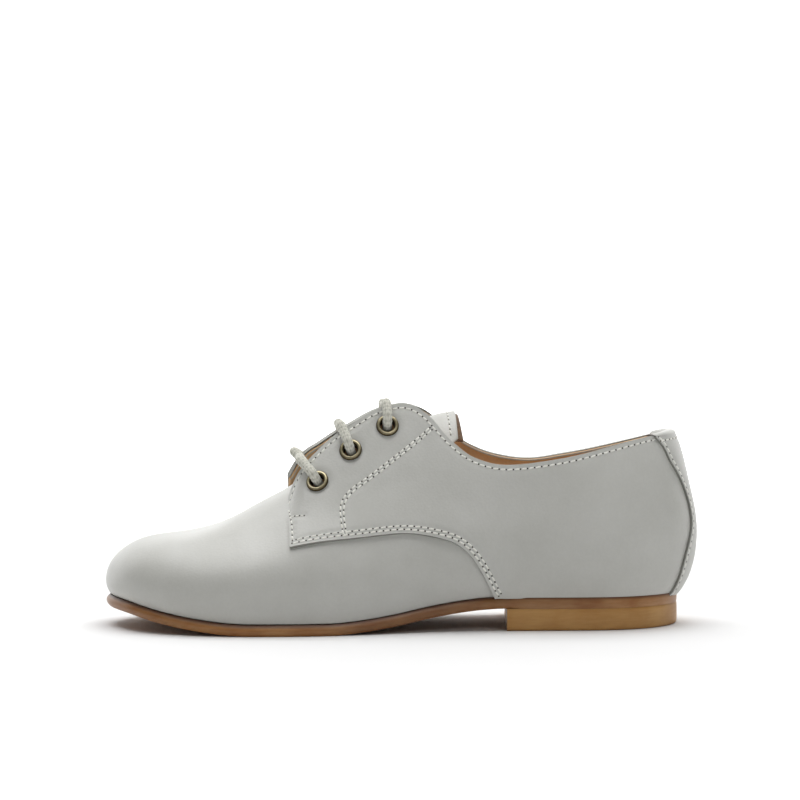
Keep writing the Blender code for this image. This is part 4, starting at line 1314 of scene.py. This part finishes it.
def needle_hole():
    """The shadowed mouth of a needle hole: raw leather core, matt and nearly black."""
    material, tree, shader, place = new_material("shadowed_leather_core", {"Roughness": 1.0})
    speck = add_node(tree, "TexNoise", {}, {"Vector": place, "Scale": per_metre(0.6), "Detail": 1.0})
    colour = add_node(tree, "Mix", {"data_type": "RGBA"}, {
        MIX_SHARE: speck.outputs["Fac"], MIX_FIRST: linear("#2C2823"), MIX_SECOND: linear("#4A443B")})
    wire(tree, shader, {"Base Color": colour.outputs[MIX_RESULT]})
    return material


CALF = calf_leather()
# Darker grey for the cut edges: the raw edge's own colour, and also painted shade for the dark line along
# the quarters' lower edge and the back strip's sides
CUT_EDGE_AND_SHADE = calf_leather("calf_cut_edge_and_painted_shade", "#8A8A84", "#74746E", 0.6)
LINING = lining_leather()
SUEDE = suede()
# Each takes a tan, a darker tan and a dark brown used for burnish and painted shade, then roughness and
# the heights of the edge that darken
SOLE_LEATHER = sole_leather("waxed_sole_leather", "#B58551", "#935D26", "#5A3415", 0.42, (0.6, 1.0))
HEEL_LEATHER = sole_leather("waxed_heel_leather", "#BE8F50", "#A97739", "#6E4A26", 0.5, (0.9, 1.4))
BRASS = antique_brass()
CORD = cotton_cord()
THREAD = sewing_thread()
NEEDLE_HOLE = needle_hole()


# Leather pieces of the upper
def on_form(x, height, side):
    """The last's surface under a quarter at a place along the shoe and a height."""
    share = round_at(x)
    return form_point(share, side, level_at(share, side, height, "facing"), "facing")


def vamp_top(x, share, side):
    """Level where the vamp ends: the top line, then hidden under the quarters."""
    if x <= throat_line:
        return top_level
    lap = level_at(share, side, seam_line(x - seam_lap) + seam_lap, "vamp")
    if x >= throat_end:
        return lap
    part = (x - throat_line) / (throat_end - throat_line)
    return top_level + (lap - top_level) * math.sin(part * math.pi / 2)


def quarter_foot(x, share, side):
    """Level of the quarters' lower edge: the seam over the vamp, then the sole."""
    if x >= seam_foot:
        return 0.0
    return level_at(share, side, seam_line(x), "facing")


def bunched(count, first, last, ends):
    """Places from first to last that draw together towards both ends."""
    part = np.linspace(-1, 1, count)
    eased = np.sin(part * math.pi / 2)
    mixed = (eased + ends * part) / (1 + ends)
    return first + (mixed + 1) / 2 * (last - first)


def make_vamp():
    """Vamp of one piece from toe to throat, with a stitched rear edge over the tongue."""
    back = round_at(seam_foot + seam_lap)
    middle = round_at(throat_end)
    throat = round_at(throat_line)
    shares = list(np.linspace(back, middle, 90)) + list(np.linspace(middle, throat, 26))[1:]
    shares += list(np.linspace(throat, 0, 130))[1:-1]
    stations = [(share, LATERAL) for share in shares] + [(0.0, LATERAL)]
    stations += [(share, MEDIAL) for share in reversed(shares)]

    def levels_for(share, side):
        return np.linspace(0, vamp_top(rib_stance(share)[0], share, side), 84)

    patch = form_patch(stations, levels_for, "vamp")
    row_end = throat_line + throat_row_run
    edge = [form_point(round_at(x), side, vamp_top(x, round_at(x), side), "vamp")
            for side, places in ((LATERAL, np.linspace(row_end, throat_line, 24)),
                                 (MEDIAL, np.linspace(throat_line, row_end, 24)))
            for x in places]
    inside = form_point(round_at(throat_line - 0.02), LATERAL, top_level, "vamp")
    row = stitch_row(patch, line_beside(patch, edge, inside, edge_margin))
    sunk = row_depths(patch.points, [row]) + crease_depths(patch.points)
    dress(leather_panel("vamp", patch, 0.0, leather_wall, sunk), CALF, "upper_leather", "upper")
    sew("throat_row", [row], 0.0)
    lined = form_patch(stations[::3], lambda share, side: levels_for(share, side)[::3], "vamp")
    lining = leather_panel("vamp_lining", lined, -leather_wall, vamp_lining_wall, 0.0)
    dress(lining, LINING, "insole_leather")


def quarter_stations(side, count):
    """Stations of one quarter, from the facing's front edge to the middle of the heel."""
    front = round_at(facing_front)
    return [(share, side) for share in bunched(count, front, 1.0, 3.0)]


def quarter_levels(share, side, count=96, top=top_level):
    """Levels up one station of a quarter, from its lower to its top edge."""
    foot = quarter_foot(rib_stance(share)[0], share, side)
    return foot + (top - foot) * bunched(count, 0, 1, 3.0)


def lining_levels(share, side):
    """Levels up one station of the lining, which stops short of the quarter's top edge."""
    return quarter_levels(share, side, 44, top_level - lining_stop)


def top_edge(side, count=160):
    """Top edge of a quarter, from the facing's front corner to the middle of the heel."""
    shares = np.linspace(round_at(facing_front), 1, count)
    return [form_point(share, side, top_level, "facing") for share in shares]


def quarter_rows(patch, side):
    """Every stitch row of one quarter: round its edge, two along the seam, two round the stay behind
    the eyelets and the bar tack."""
    middle = on_form(0.60 * shoe_length, 0.040, side)
    front = round_at(facing_front)
    top = line_beside(patch, top_edge(side), middle, edge_margin)
    front_edge = [form_point(front, side, level, "facing")
                  for level in np.linspace(quarter_foot(facing_front, front, side), top_level, 40)]
    down_front = line_beside(patch, front_edge, middle, front_margin)
    lowest = down_front[0].z + seam_margin
    highest = front_edge[-1].z - edge_margin
    down_front = [place for place in down_front if lowest < place.z < highest]
    round_top = even_places(down_front + top[3:], stitch_pitch)
    seam_run = np.linspace(facing_front + front_margin, seam_foot, 90)
    seam = [on_form(x, seam_line(x), side) for x in seam_run]
    seam_inside = on_form(0.50 * shoe_length, 0.045, side)
    low = line_beside(patch, seam, seam_inside, seam_margin)
    high = line_beside(patch, seam, seam_inside, seam_margin + seam_rows_apart)
    high = [place for place in high if place.x > facing_front + 2 * front_margin]
    stay = [on_form(x, height, side) for x, height in EYESTAY_ROWS]
    stay = even_places(curve_through(stay), stitch_pitch / 4)
    behind = on_form(0.60 * shoe_length, 0.030, side)
    stay_twin = line_beside(patch, stay, behind, eyestay_rows_apart)
    tack = [on_form(x, height, side) for x, height in BAR_TACK_ROWS]
    rows = [stitch_row(patch, line) for line in (round_top, low, high)]
    rows += [stitch_row(patch, line, end=row_end_gap) for line in (stay, stay_twin)]
    return rows + [stitch_row(patch, tack, tack_pitch)]


def curve_through(places, spacing=0.0005):
    """Even places on the smooth curve through a few chosen ones."""
    laid = np.array([tuple(place) for place in places])
    run = run_along(laid)
    even = np.linspace(0, run[-1], max(int(run[-1] / spacing), 4) + 1)
    return [Vector(place) for place in spline_points(laid, run, even)]


def make_quarters():
    """The two quarters with their facings, rows of stitching, eyelet holes and lining."""
    for side, side_name in ((LATERAL, "lateral"), (MEDIAL, "medial")):
        patch = form_patch(quarter_stations(side, 250), quarter_levels, "facing")
        rows = quarter_rows(patch, side)
        seats = eyelet_seats(side)
        sunk = (row_depths(patch.points, rows) + eyelet_depths(patch.points, seats)
                + crease_depths(patch.points))
        holes = [(seat.place, eyelet_barrel) for seat in seats]
        panel = leather_panel(f"quarter_{side_name}", patch, quarter_step, leather_wall, sunk, holes)
        dress(panel, CALF, "upper_leather")
        panel.data.materials.append(CUT_EDGE_AND_SHADE)
        sew(f"quarter_{side_name}", rows, quarter_step)
        lined = form_patch(quarter_stations(side, 110), lining_levels, "facing")
        lining = leather_panel(f"lining_{side_name}", lined, lining_outer - lining_wall, -lining_wall, 0.0)
        rows_up = lined.points.shape[1] - 1
        for n in range(rows_up - 1, len(lined.faces), rows_up):
            lining.data.polygons[n].material_index = 1
        dress(lining, LINING, "insole_leather")
        lining.data.materials.append(CALF)


def strip_point(part, level):
    """Surface point under the strip at a part of its width, from 1 laterally to -1 medially."""
    half = flow(STRIP_ROWS, 1 if part > 0 else 2, level / top_level) * strip_width / 2 / girth_run
    return form_point(1 - part * half, LATERAL, level, "facing")


def make_back_strip():
    """The strip over the back seam, folded over the collar and stitched down each side."""
    fold_height = strip_fold + strip_fold_rise
    levels = np.linspace(0, top_level - strip_stop, 110)
    parts = bunched(36, -1, 1, 2.0)
    points = np.array([[strip_point(part, level) for level in levels] for part in parts])
    ways = outward(points, LATERAL)
    centre = len(parts) // 2
    half_way = len(levels) // 2
    if ways[centre, half_way, 0] < 0:
        ways = -ways
    patch = Patch(points, ways)
    lift = quarter_step + strip_step
    inside = Vector(points[centre, half_way])
    rows = []
    for part in (-1, 1):
        edge = [strip_point(part, level) for level in np.linspace(*strip_row_levels, 90)]
        rows.append(stitch_row(patch, line_beside(patch, edge, inside, strip_margin)))
    collar = [Vector(place) for place in points[2:-2, -1]]
    rows.append(stitch_row(patch, line_beside(patch, collar, inside, edge_margin)))
    sunk = row_depths(points, rows)
    over = []
    for i in range(len(parts)):
        rising = Vector(points[i, -1] - points[i, -2]).normalized()
        top = Vector(points[i, -1])
        way = Vector(ways[i, -1])
        turn = [top + rising * fold_height * math.sin(angle)
                + way * ((lift + strip_fold_depth) / 2 * math.cos(angle) + (lift - strip_fold_depth) / 2)
                for angle in np.linspace(strip_fold_start, math.pi, 10)]
        inner = [Vector(points[i, -2 - n]) - way * strip_fold_depth for n in range(0, 10, 2)]
        over.append(turn + inner)
    outer = points + ways * (lift - sunk[..., None])
    laid = [column + [tuple(place) for place in extra] for column, extra in zip(outer.tolist(), over)]
    rows_count = len(laid[0])
    faces = grid_faces(len(laid), rows_count)
    flat = [place for column in laid for place in column]
    base = len(flat)
    below = [tuple(points[i, j] + ways[i, j] * (quarter_step - strip_sink))
             for i in (0, len(parts) - 1) for j in range(len(levels))]
    for n, i in enumerate((0, len(parts) - 1)):
        for j in range(len(levels) - 1):
            corner = i * rows_count + j
            under = base + n * len(levels) + j
            faces.append((corner, corner + 1, under + 1, under))
    strip = mesh_piece("back_strip", flat + below, faces, panel_edge_angle)
    # The side walls take the darker cut-edge grey, partly painted shade along the strip's sides
    for face in strip.data.polygons[-2 * (len(levels) - 1):]:
        face.material_index = 1
    soften_edges(strip)
    dress(strip, CALF, "upper_leather")
    strip.data.materials.append(CUT_EDGE_AND_SHADE)
    sew("back_strip", rows, lift)


# Sole, sock and heel
def mark(piece, name, values):
    """Store a number at each point of a piece, for its material to read."""
    layer = piece.data.attributes.new(name, "FLOAT", "POINT")
    layer.data.foreach_set("value", [float(value) for value in values])


def cap_faces(first, around, mirror):
    """Faces across a ring, between each point and the one that mirrors it."""
    faces = []
    for i in range(around // 2):
        far = (mirror - i) % around
        quad = [first + i, first + i + 1, first + (far - 1) % around, first + far]
        quad = list(dict.fromkeys(quad))
        if len(quad) > 2:
            faces.append(quad)
    return faces


def stacked(name, rows, ring_at, mirror, sharp_angle=40):
    """A block from a ring of points for each row (inset, height, how far up the edge it counts for
    the burnish and painted shade), closed below and above; mirror is the point across from the first."""
    rings = [ring_at(inset, height) for inset, height, _ in rows]
    around = len(rings[0])
    faces = ring_faces(len(rows), around)
    for first in (0, (len(rows) - 1) * around):
        faces += cap_faces(first, around, mirror)
    piece = mesh_piece(name, [place for ring in rings for place in ring], faces, sharp_angle)
    climb = [up for _, _, up in rows for _ in range(around)]
    mark(piece, "up_edge", climb)
    turn_faces_out(piece)
    return piece, climb


def make_outsole():
    """Thin leather sole with a half-round edge, darker at the feather line from burnish and painted shade,
    and with painted shade along its edge at the toe, the waist and the heel seat.
    """
    curve = sole_outline(sole_points)
    rounding = np.array([[edge_share(x)] for x, _ in curve]) * sole_thickness * sole_rounding

    def ring_at(inset, height):
        return [Vector((x, y, underside(x) + height)) for x, y in inset_curve(curve, inset)]

    rows = [(sole_thickness, 0.0, 0.0)]
    for part in np.linspace(0, 1, 15):
        angle = (part - sole_fullest) * math.pi * sole_arc
        rows.append((rounding * (1 - math.cos(angle)) ** sole_squareness, part * sole_thickness, part))
    rows.append((sole_thickness, sole_thickness, 1.0))
    sole, _ = stacked("outsole_edge_trimmed", rows, ring_at, sole_points)
    # Painted shade along the sole's edge, set by the place along the sole
    mark(sole, "painted_shade", [firm(PAINTED_SHADE_ROWS, point.co.x / shoe_length) for point in sole.data.vertices])
    dress(sole, SOLE_LEATHER, "outsole_leather", "outsole")


def make_insole():
    """Leather sock on the insole, with a soft edge."""
    outline = sole_outline(sock_points)
    behind = np.clip((outline[:, 0] - seam_foot - seam_lap) / seam_lap - 0.5, 0, 1)
    inset = sole_inset + gap + vamp_wall + behind * (quarter_wall - quarter_step - vamp_wall)
    curve = inset_curve(outline, inset[:, None])

    def ring_at(inset, height):
        return [Vector((x, y, sole_top(x) + height)) for x, y in inset_curve(curve, inset)]

    rows = [(0.0, gap, 0.0)]
    for angle in np.linspace(0, math.pi / 2, 6):
        rows.append((insole_thickness * 0.5 * (1 - math.cos(angle)),
                     gap + insole_thickness * (0.5 + 0.5 * math.sin(angle)), 0.0))
    sock, _ = stacked("leather_sock", rows, ring_at, sock_points)
    dress(sock, LINING, "insole_leather", "insole")


def make_heel():
    """Low heel block under the seat, cut off square at the breast, with painted contact shadow along its
    lower rim.
    """
    curve = sole_outline(sole_points)
    kept = [(x, y) for x, y in curve if x > breast_at(y)]
    front = [cut_at(curve, breast_at(side * heel_width / 2), side) for side in (LATERAL, MEDIAL)]
    ring = np.array([front[0]] + kept + [front[1]])

    def ring_at(inset, height):
        return [Vector((max(x, breast_at(y)), y, height))
                for x, y in inset_curve(ring, inset, open_ended=True)]

    tuck = sole_rounding * heel_edge_share * sole_thickness
    rows = (
        (heel_bevel * 0.75, 0.0, 0.0),
        (heel_bevel * 0.35, heel_bevel * 0.2, 0.05),
        (heel_bevel * 0.20, heel_bevel * 0.35, 0.07),
        (heel_bevel * 0.10, heel_bevel * 0.6, 0.1),
        (0.0, heel_bevel, 0.15),
        (0.0, heel_height * 0.35, 0.3),
        (0.0, heel_height * 0.55, 0.5),
        (0.0, heel_height * 0.80, 0.8),
        (tuck * 0.3, heel_height * 0.93, 0.95),
        (tuck, heel_height - heel_joint, 1.0),
    )
    heel, climb = stacked("heel_block", rows, ring_at, len(ring) - 1, sharp_angle=35)
    # Painted contact shadow along the heel's lower rim, fading going up
    mark(heel, "painted_shade", [max(heel_rim_shade - up * heel_rim_shade_fade, 0) for up in climb])
    dress(heel, HEEL_LEATHER, "heel_leather", "heel")


def cut_at(curve, x, side):
    """Point where one side of a closed curve passes x."""
    half = sorted((tuple(point) for point in curve if point[1] * side > 0), key=lambda p: p[0])
    for before, after in zip(half, half[1:]):
        if before[0] <= x <= after[0]:
            part = (x - before[0]) / (after[0] - before[0])
            return x, before[1] + part * (after[1] - before[1])
    raise ValueError("the curve does not pass x")


# Tongue
def tongue_point(x, across):
    """Top face of the tongue; across runs -1 to 1 from its lateral to its medial edge."""
    share = x / shoe_length
    half = flow(TONGUE_ROWS, 1, share) * tongue_width / 2
    droop = flow(TONGUE_ROWS, 2, share) * tongue_width
    sunk = flow(TONGUE_ROWS, 3, share) * (vamp_wall + gap) * math.hypot(1, crest_slope(x))
    return Vector((x, half * across, crest(x) - sunk - droop * abs(across) ** tongue_bow))


def make_tongue():
    """Tongue of calf over a suede backing that shows at its end, with one row across."""
    start = TONGUE_ROWS[0][0] * shoe_length
    end = TONGUE_ROWS[-1][0] * shoe_length
    acrosses = bunched(60, -1, 1, 3.0)

    def laid(past_end, curve):
        """The tongue's face, ending further back towards its sides."""
        points = np.array([
            [tongue_point(start + part * (end + past_end + curve * (across ** 2 - 1) - start), across)
             for across in acrosses]
            for part in np.linspace(0, 1, 120)])
        ways = np.cross(np.gradient(points, axis=0), np.gradient(points, axis=1))
        return Patch(points, ways / np.linalg.norm(ways, axis=2, keepdims=True))

    patch = laid(0.0, tongue_end_curve)
    backed = laid(suede_past_end, suede_end_curve)
    points = patch.points
    end_edge = [Vector(place) for place in points[-1, 2:-2]]
    row = stitch_row(patch, line_beside(patch, end_edge, tongue_point(start, 0), tongue_margin))
    top = leather_panel("tongue", patch, 0.0, tongue_wall - suede_wall, row_depths(points, [row]))
    dress(top, CALF, "tongue_leather", "tongue")
    sew("tongue", [row], 0.0, "tongue_leather")
    backing = leather_panel("tongue_backing", backed, suede_wall - tongue_wall, suede_wall, 0.0)
    under = leather_panel("tongue_suede", backed, -tongue_wall, -suede_wall, 0.0)
    dress(backing, SUEDE, "tongue_leather")
    dress(under, SUEDE, "tongue_leather")


# Eyelets and lace
def make_eyelets():
    """Brass eyelets: a rolled flange outside and a barrel through the wall, closed flat at its back."""
    bore = eyelet_bore / 2
    flange = eyelet_width / 2
    inside = quarter_step - quarter_wall - gap
    middle = (bore + flange) / 2
    half = (flange - bore) / 2
    profile = [(eyelet_barrel / 2, inside), (eyelet_barrel / 2, quarter_step - barrel_stop)]
    for angle in np.linspace(0, math.pi, 15):
        rise = (eyelet_lip + gap) * math.sin(angle) ** flange_fullness
        profile.append((middle + half * math.cos(angle), quarter_step + rise))
    profile.append((bore, inside))
    around = 64
    up = Vector((0, 0, 1))
    points = [out * radius + up * height
              for out in ring_ways(Vector((1, 0, 0)), Vector((0, 1, 0)), around)
              for radius, height in profile]
    for side, side_name in ((LATERAL, "lateral"), (MEDIAL, "medial")):
        for n, seat in enumerate(eyelet_seats(side)):
            eyelet = mesh_piece(f"brass_eyelet_{side_name}_{n + 1}", points,
                                ring_faces(around, len(profile), closed=True))
            turn_faces_out(eyelet)
            turn = up.rotation_difference(seat.way)
            eyelet.matrix_world = Matrix.Translation(seat.place) @ turn.to_matrix().to_4x4()
            dress(eyelet, BRASS, "eyelet_brass", f"eyelet_{side_name}_{n + 1}")


def bar_half(seat, pressed):
    """Route of a lace bar from inside its eyelet, over the rim and up to the facing's edge."""
    edge, place, way, edge_way, upward = seat
    radius = lace_width / 2
    over_leather = quarter_step + gap + radius
    to_edge = (edge - place).normalized()
    shoulder = (edge_way + upward).normalized()
    leaning = (way + edge_way).normalized()
    return [
        place - way * (quarter_wall + radius),
        place - way * quarter_wall * lace_in_bore,
        place + to_edge * lace_mouth_step + way * lace_mouth_rise,
        place + to_edge * lace_rim_step + way * (over_leather + eyelet_lip * lace_rim_lift),
        (edge + place) / 2 + to_edge * lace_half_step
        + leaning * (over_leather + eyelet_lip * lace_half_lift),
        edge + edge_way * (over_leather * lace_shoulder) + shoulder * (radius - pressed),
        edge + upward * (radius - pressed),
    ]


def inner_run(seat, deeper=0.0):
    """Place inside the facing under an eyelet."""
    return seat.place - seat.way * (quarter_wall + lace_width / 2 + deeper)


def hidden_run(seat, next_seat, drop=0.0):
    """Middle of the run between two eyelets under a facing."""
    ends = (inner_run(seat, hidden_depth), inner_run(next_seat, hidden_depth))
    return (ends[0] + ends[1]) / 2 - seat.way * hidden_depth - seat.upward * drop


def lace_bar(n):
    """Route of one bar of the lace, from inside its lateral eyelet to inside its medial one."""
    seats = (eyelet_seats(LATERAL)[n], eyelet_seats(MEDIAL)[n])
    left, right = (bar_half(seat, LACE_PRESSED[n]) for seat in seats)
    away = sum((seat.edge_way + seat.upward for seat in seats), Vector()).normalized()
    *_, rise_share = EYELET_ROWS[n]
    rise = away * rise_share * lace_width
    across = [left[-1].lerp(right[-1], share) + rise * math.sin(math.pi * share) for share in LACE_MIDDLE]
    return left + across + right[::-1]


def make_lace():
    """One round lace: a straight bar over each pair of eyelets, its runs hidden under the facings."""
    lateral = eyelet_seats(LATERAL)
    medial = eyelet_seats(MEDIAL)
    start = inner_run(lateral[2]) - lateral[2].upward * first_end
    end = inner_run(medial[1]) + (medial[2].place - medial[1].place) * last_end_share
    route = [start] + lace_bar(2) + [hidden_run(medial[2], medial[0], hidden_drop)] + lace_bar(0)[::-1]
    route += [hidden_run(lateral[0], lateral[1])] + lace_bar(1) + [end]
    braided_cord("round_lace", curve_through(route, lace_width / lace_fineness))


def braided_cord(name, route):
    """A cord of plaited yarns along a route, with each yarn raised where it passes over."""
    around = 40
    places = np.array([tuple(place) for place in route])
    ahead = [Vector(way).normalized() for way in np.gradient(places, axis=0)]
    side = ahead[0].orthogonal().normalized()
    points = []
    raised = []
    for place, way, travelled in zip(route, ahead, run_along(places)):
        side = (side - way * side.dot(way)).normalized()
        for n, out in enumerate(ring_ways(side, way.cross(side), around)):
            turns = n / around * braid_yarns
            left = turns + travelled / braid_crossing
            right = turns - travelled / braid_crossing
            over = 0.5 + 0.5 * math.sin(math.pi * (left + right)) * math.sin(math.pi * (left - right))
            left_yarn = abs(math.sin(math.pi * left)) ** yarn_roundness
            right_yarn = abs(math.sin(math.pi * right)) ** yarn_roundness
            height = max(left_yarn * over, right_yarn * (1 - over))
            points.append(place + out * (lace_width / 2 * (braid_floor + yarn_rise * height)))
            raised.append(height)
    last = len(points) - around
    faces = ring_faces(len(route), around)
    faces += [list(range(around))[::-1], list(range(last, last + around))]
    cord = mesh_piece(name, points, faces)
    mark(cord, "strand_height", raised)
    dress(cord, CORD, "lace_cotton", "lace_1", "lace_2", "lace_3")


make_vamp()
make_quarters()
make_back_strip()
make_tongue()
make_outsole()
make_insole()
make_heel()
make_eyelets()
make_lace()


# Studio: a pale floor that rises into the backdrop, soft lights overhead, and the photo's camera
def studio_paper():
    """Matt white background paper; away from the shoe it glows, so that it goes blank in the picture."""
    material, tree, shader, place = new_material("white_background_paper", {
        "Base Color": linear("#EDEDED"), "Roughness": 0.9, "Emission Color": (1.0, 1.0, 1.0, 1.0)})
    away = add_node(tree, "VectorMath", {"operation": "LENGTH"}, {0: place})
    glow = add_node(tree, "MapRange", {"interpolation_type": "SMOOTHSTEP"}, {
        "Value": away.outputs["Value"], "From Min": 0.16, "From Max": 0.75, "To Min": 0.0, "To Max": 1.02})
    tooth = add_node(tree, "TexNoise", {}, {"Vector": place, "Scale": per_metre(2.0), "Detail": 2.0})
    bump = add_node(tree, "Bump", {}, {
        "Strength": 0.02, "Distance": 0.0001, "Height": tooth.outputs["Fac"]})
    wire(tree, shader, {"Emission Strength": glow.outputs["Result"], "Normal": bump.outputs["Normal"]})
    return material


def make_studio():
    """A floor of paper that bends up behind the shoe."""
    front, bend_start, radius, top, half_width = -1.6, 1.3, 0.6, 2.4, 3.0
    profile = [(front, 0.0), (bend_start, 0.0)]
    for angle in np.linspace(0, math.pi / 2, 12)[1:]:
        profile.append((bend_start + radius * math.sin(angle), radius * (1 - math.cos(angle))))
    profile.append((bend_start + radius, top))
    points = [(x, y, z) for y, z in profile for x in (-half_width, half_width)]
    faces = [(2 * i, 2 * i + 1, 2 * i + 3, 2 * i + 2) for i in range(len(profile) - 1)]
    paper = mesh_piece("background_paper", points, faces)
    paper.data.materials.append(studio_paper())


def soft_light(name, place, aim, width, depth, power):
    """A rectangular softbox, aimed at a point."""
    lamp = bpy.data.lights.new(name, "AREA")
    lamp.shape = "RECTANGLE"
    lamp.size = width
    lamp.size_y = depth
    lamp.energy = power
    thing = new_object(name, lamp)
    thing.location = place
    thing.rotation_euler = (Vector(aim) - Vector(place)).to_track_quat("-Z", "Y").to_euler()


def make_camera():
    """The photo's view: level with the shoe and a little from the toe's side, through a long lens."""
    distance = 0.9
    eye_height = 0.1025
    swing = math.radians(3)
    lens_pixels = 2809
    image_pixels = 800
    horizon_above_middle = 96
    sideways_pixels = 3.2
    level = Vector((math.sin(swing), math.cos(swing), 0))
    dip = math.atan(horizon_above_middle / lens_pixels)
    ahead = Vector((level.x * math.cos(dip), level.y * math.cos(dip), -math.sin(dip)))
    lens = bpy.data.cameras.new("photo_camera")
    lens.sensor_width = 36
    lens.lens = lens_pixels / image_pixels * lens.sensor_width
    lens.shift_x = -sideways_pixels / image_pixels
    camera = new_object("photo_camera", lens)
    camera.location = -level * distance + Vector((0, 0, eye_height))
    camera.rotation_euler = (-ahead).to_track_quat("Z", "Y").to_euler()
    bpy.context.scene.camera = camera


def light_studio():
    """A large softbox overhead, a small one in front and a little light from all round."""
    world = bpy.data.worlds.new("studio_air")
    world.use_nodes = True
    air = world.node_tree.nodes["Background"]
    air.inputs["Color"].default_value = (1.0, 1.0, 1.0, 1.0)
    air.inputs["Strength"].default_value = 0.12
    bpy.context.scene.world = world
    soft_light("overhead_softbox", place=(0.0, 0.12, 1.1), aim=(0, 0, 0), width=1.3, depth=1.1, power=15.5)
    soft_light("front_softbox", place=(0.4, -1.3, 0.9), aim=(0, 0, 0.03), width=0.8, depth=0.5, power=2.0)
    bpy.context.scene.view_settings.view_transform = "Standard"


make_studio()
make_camera()
light_studio()
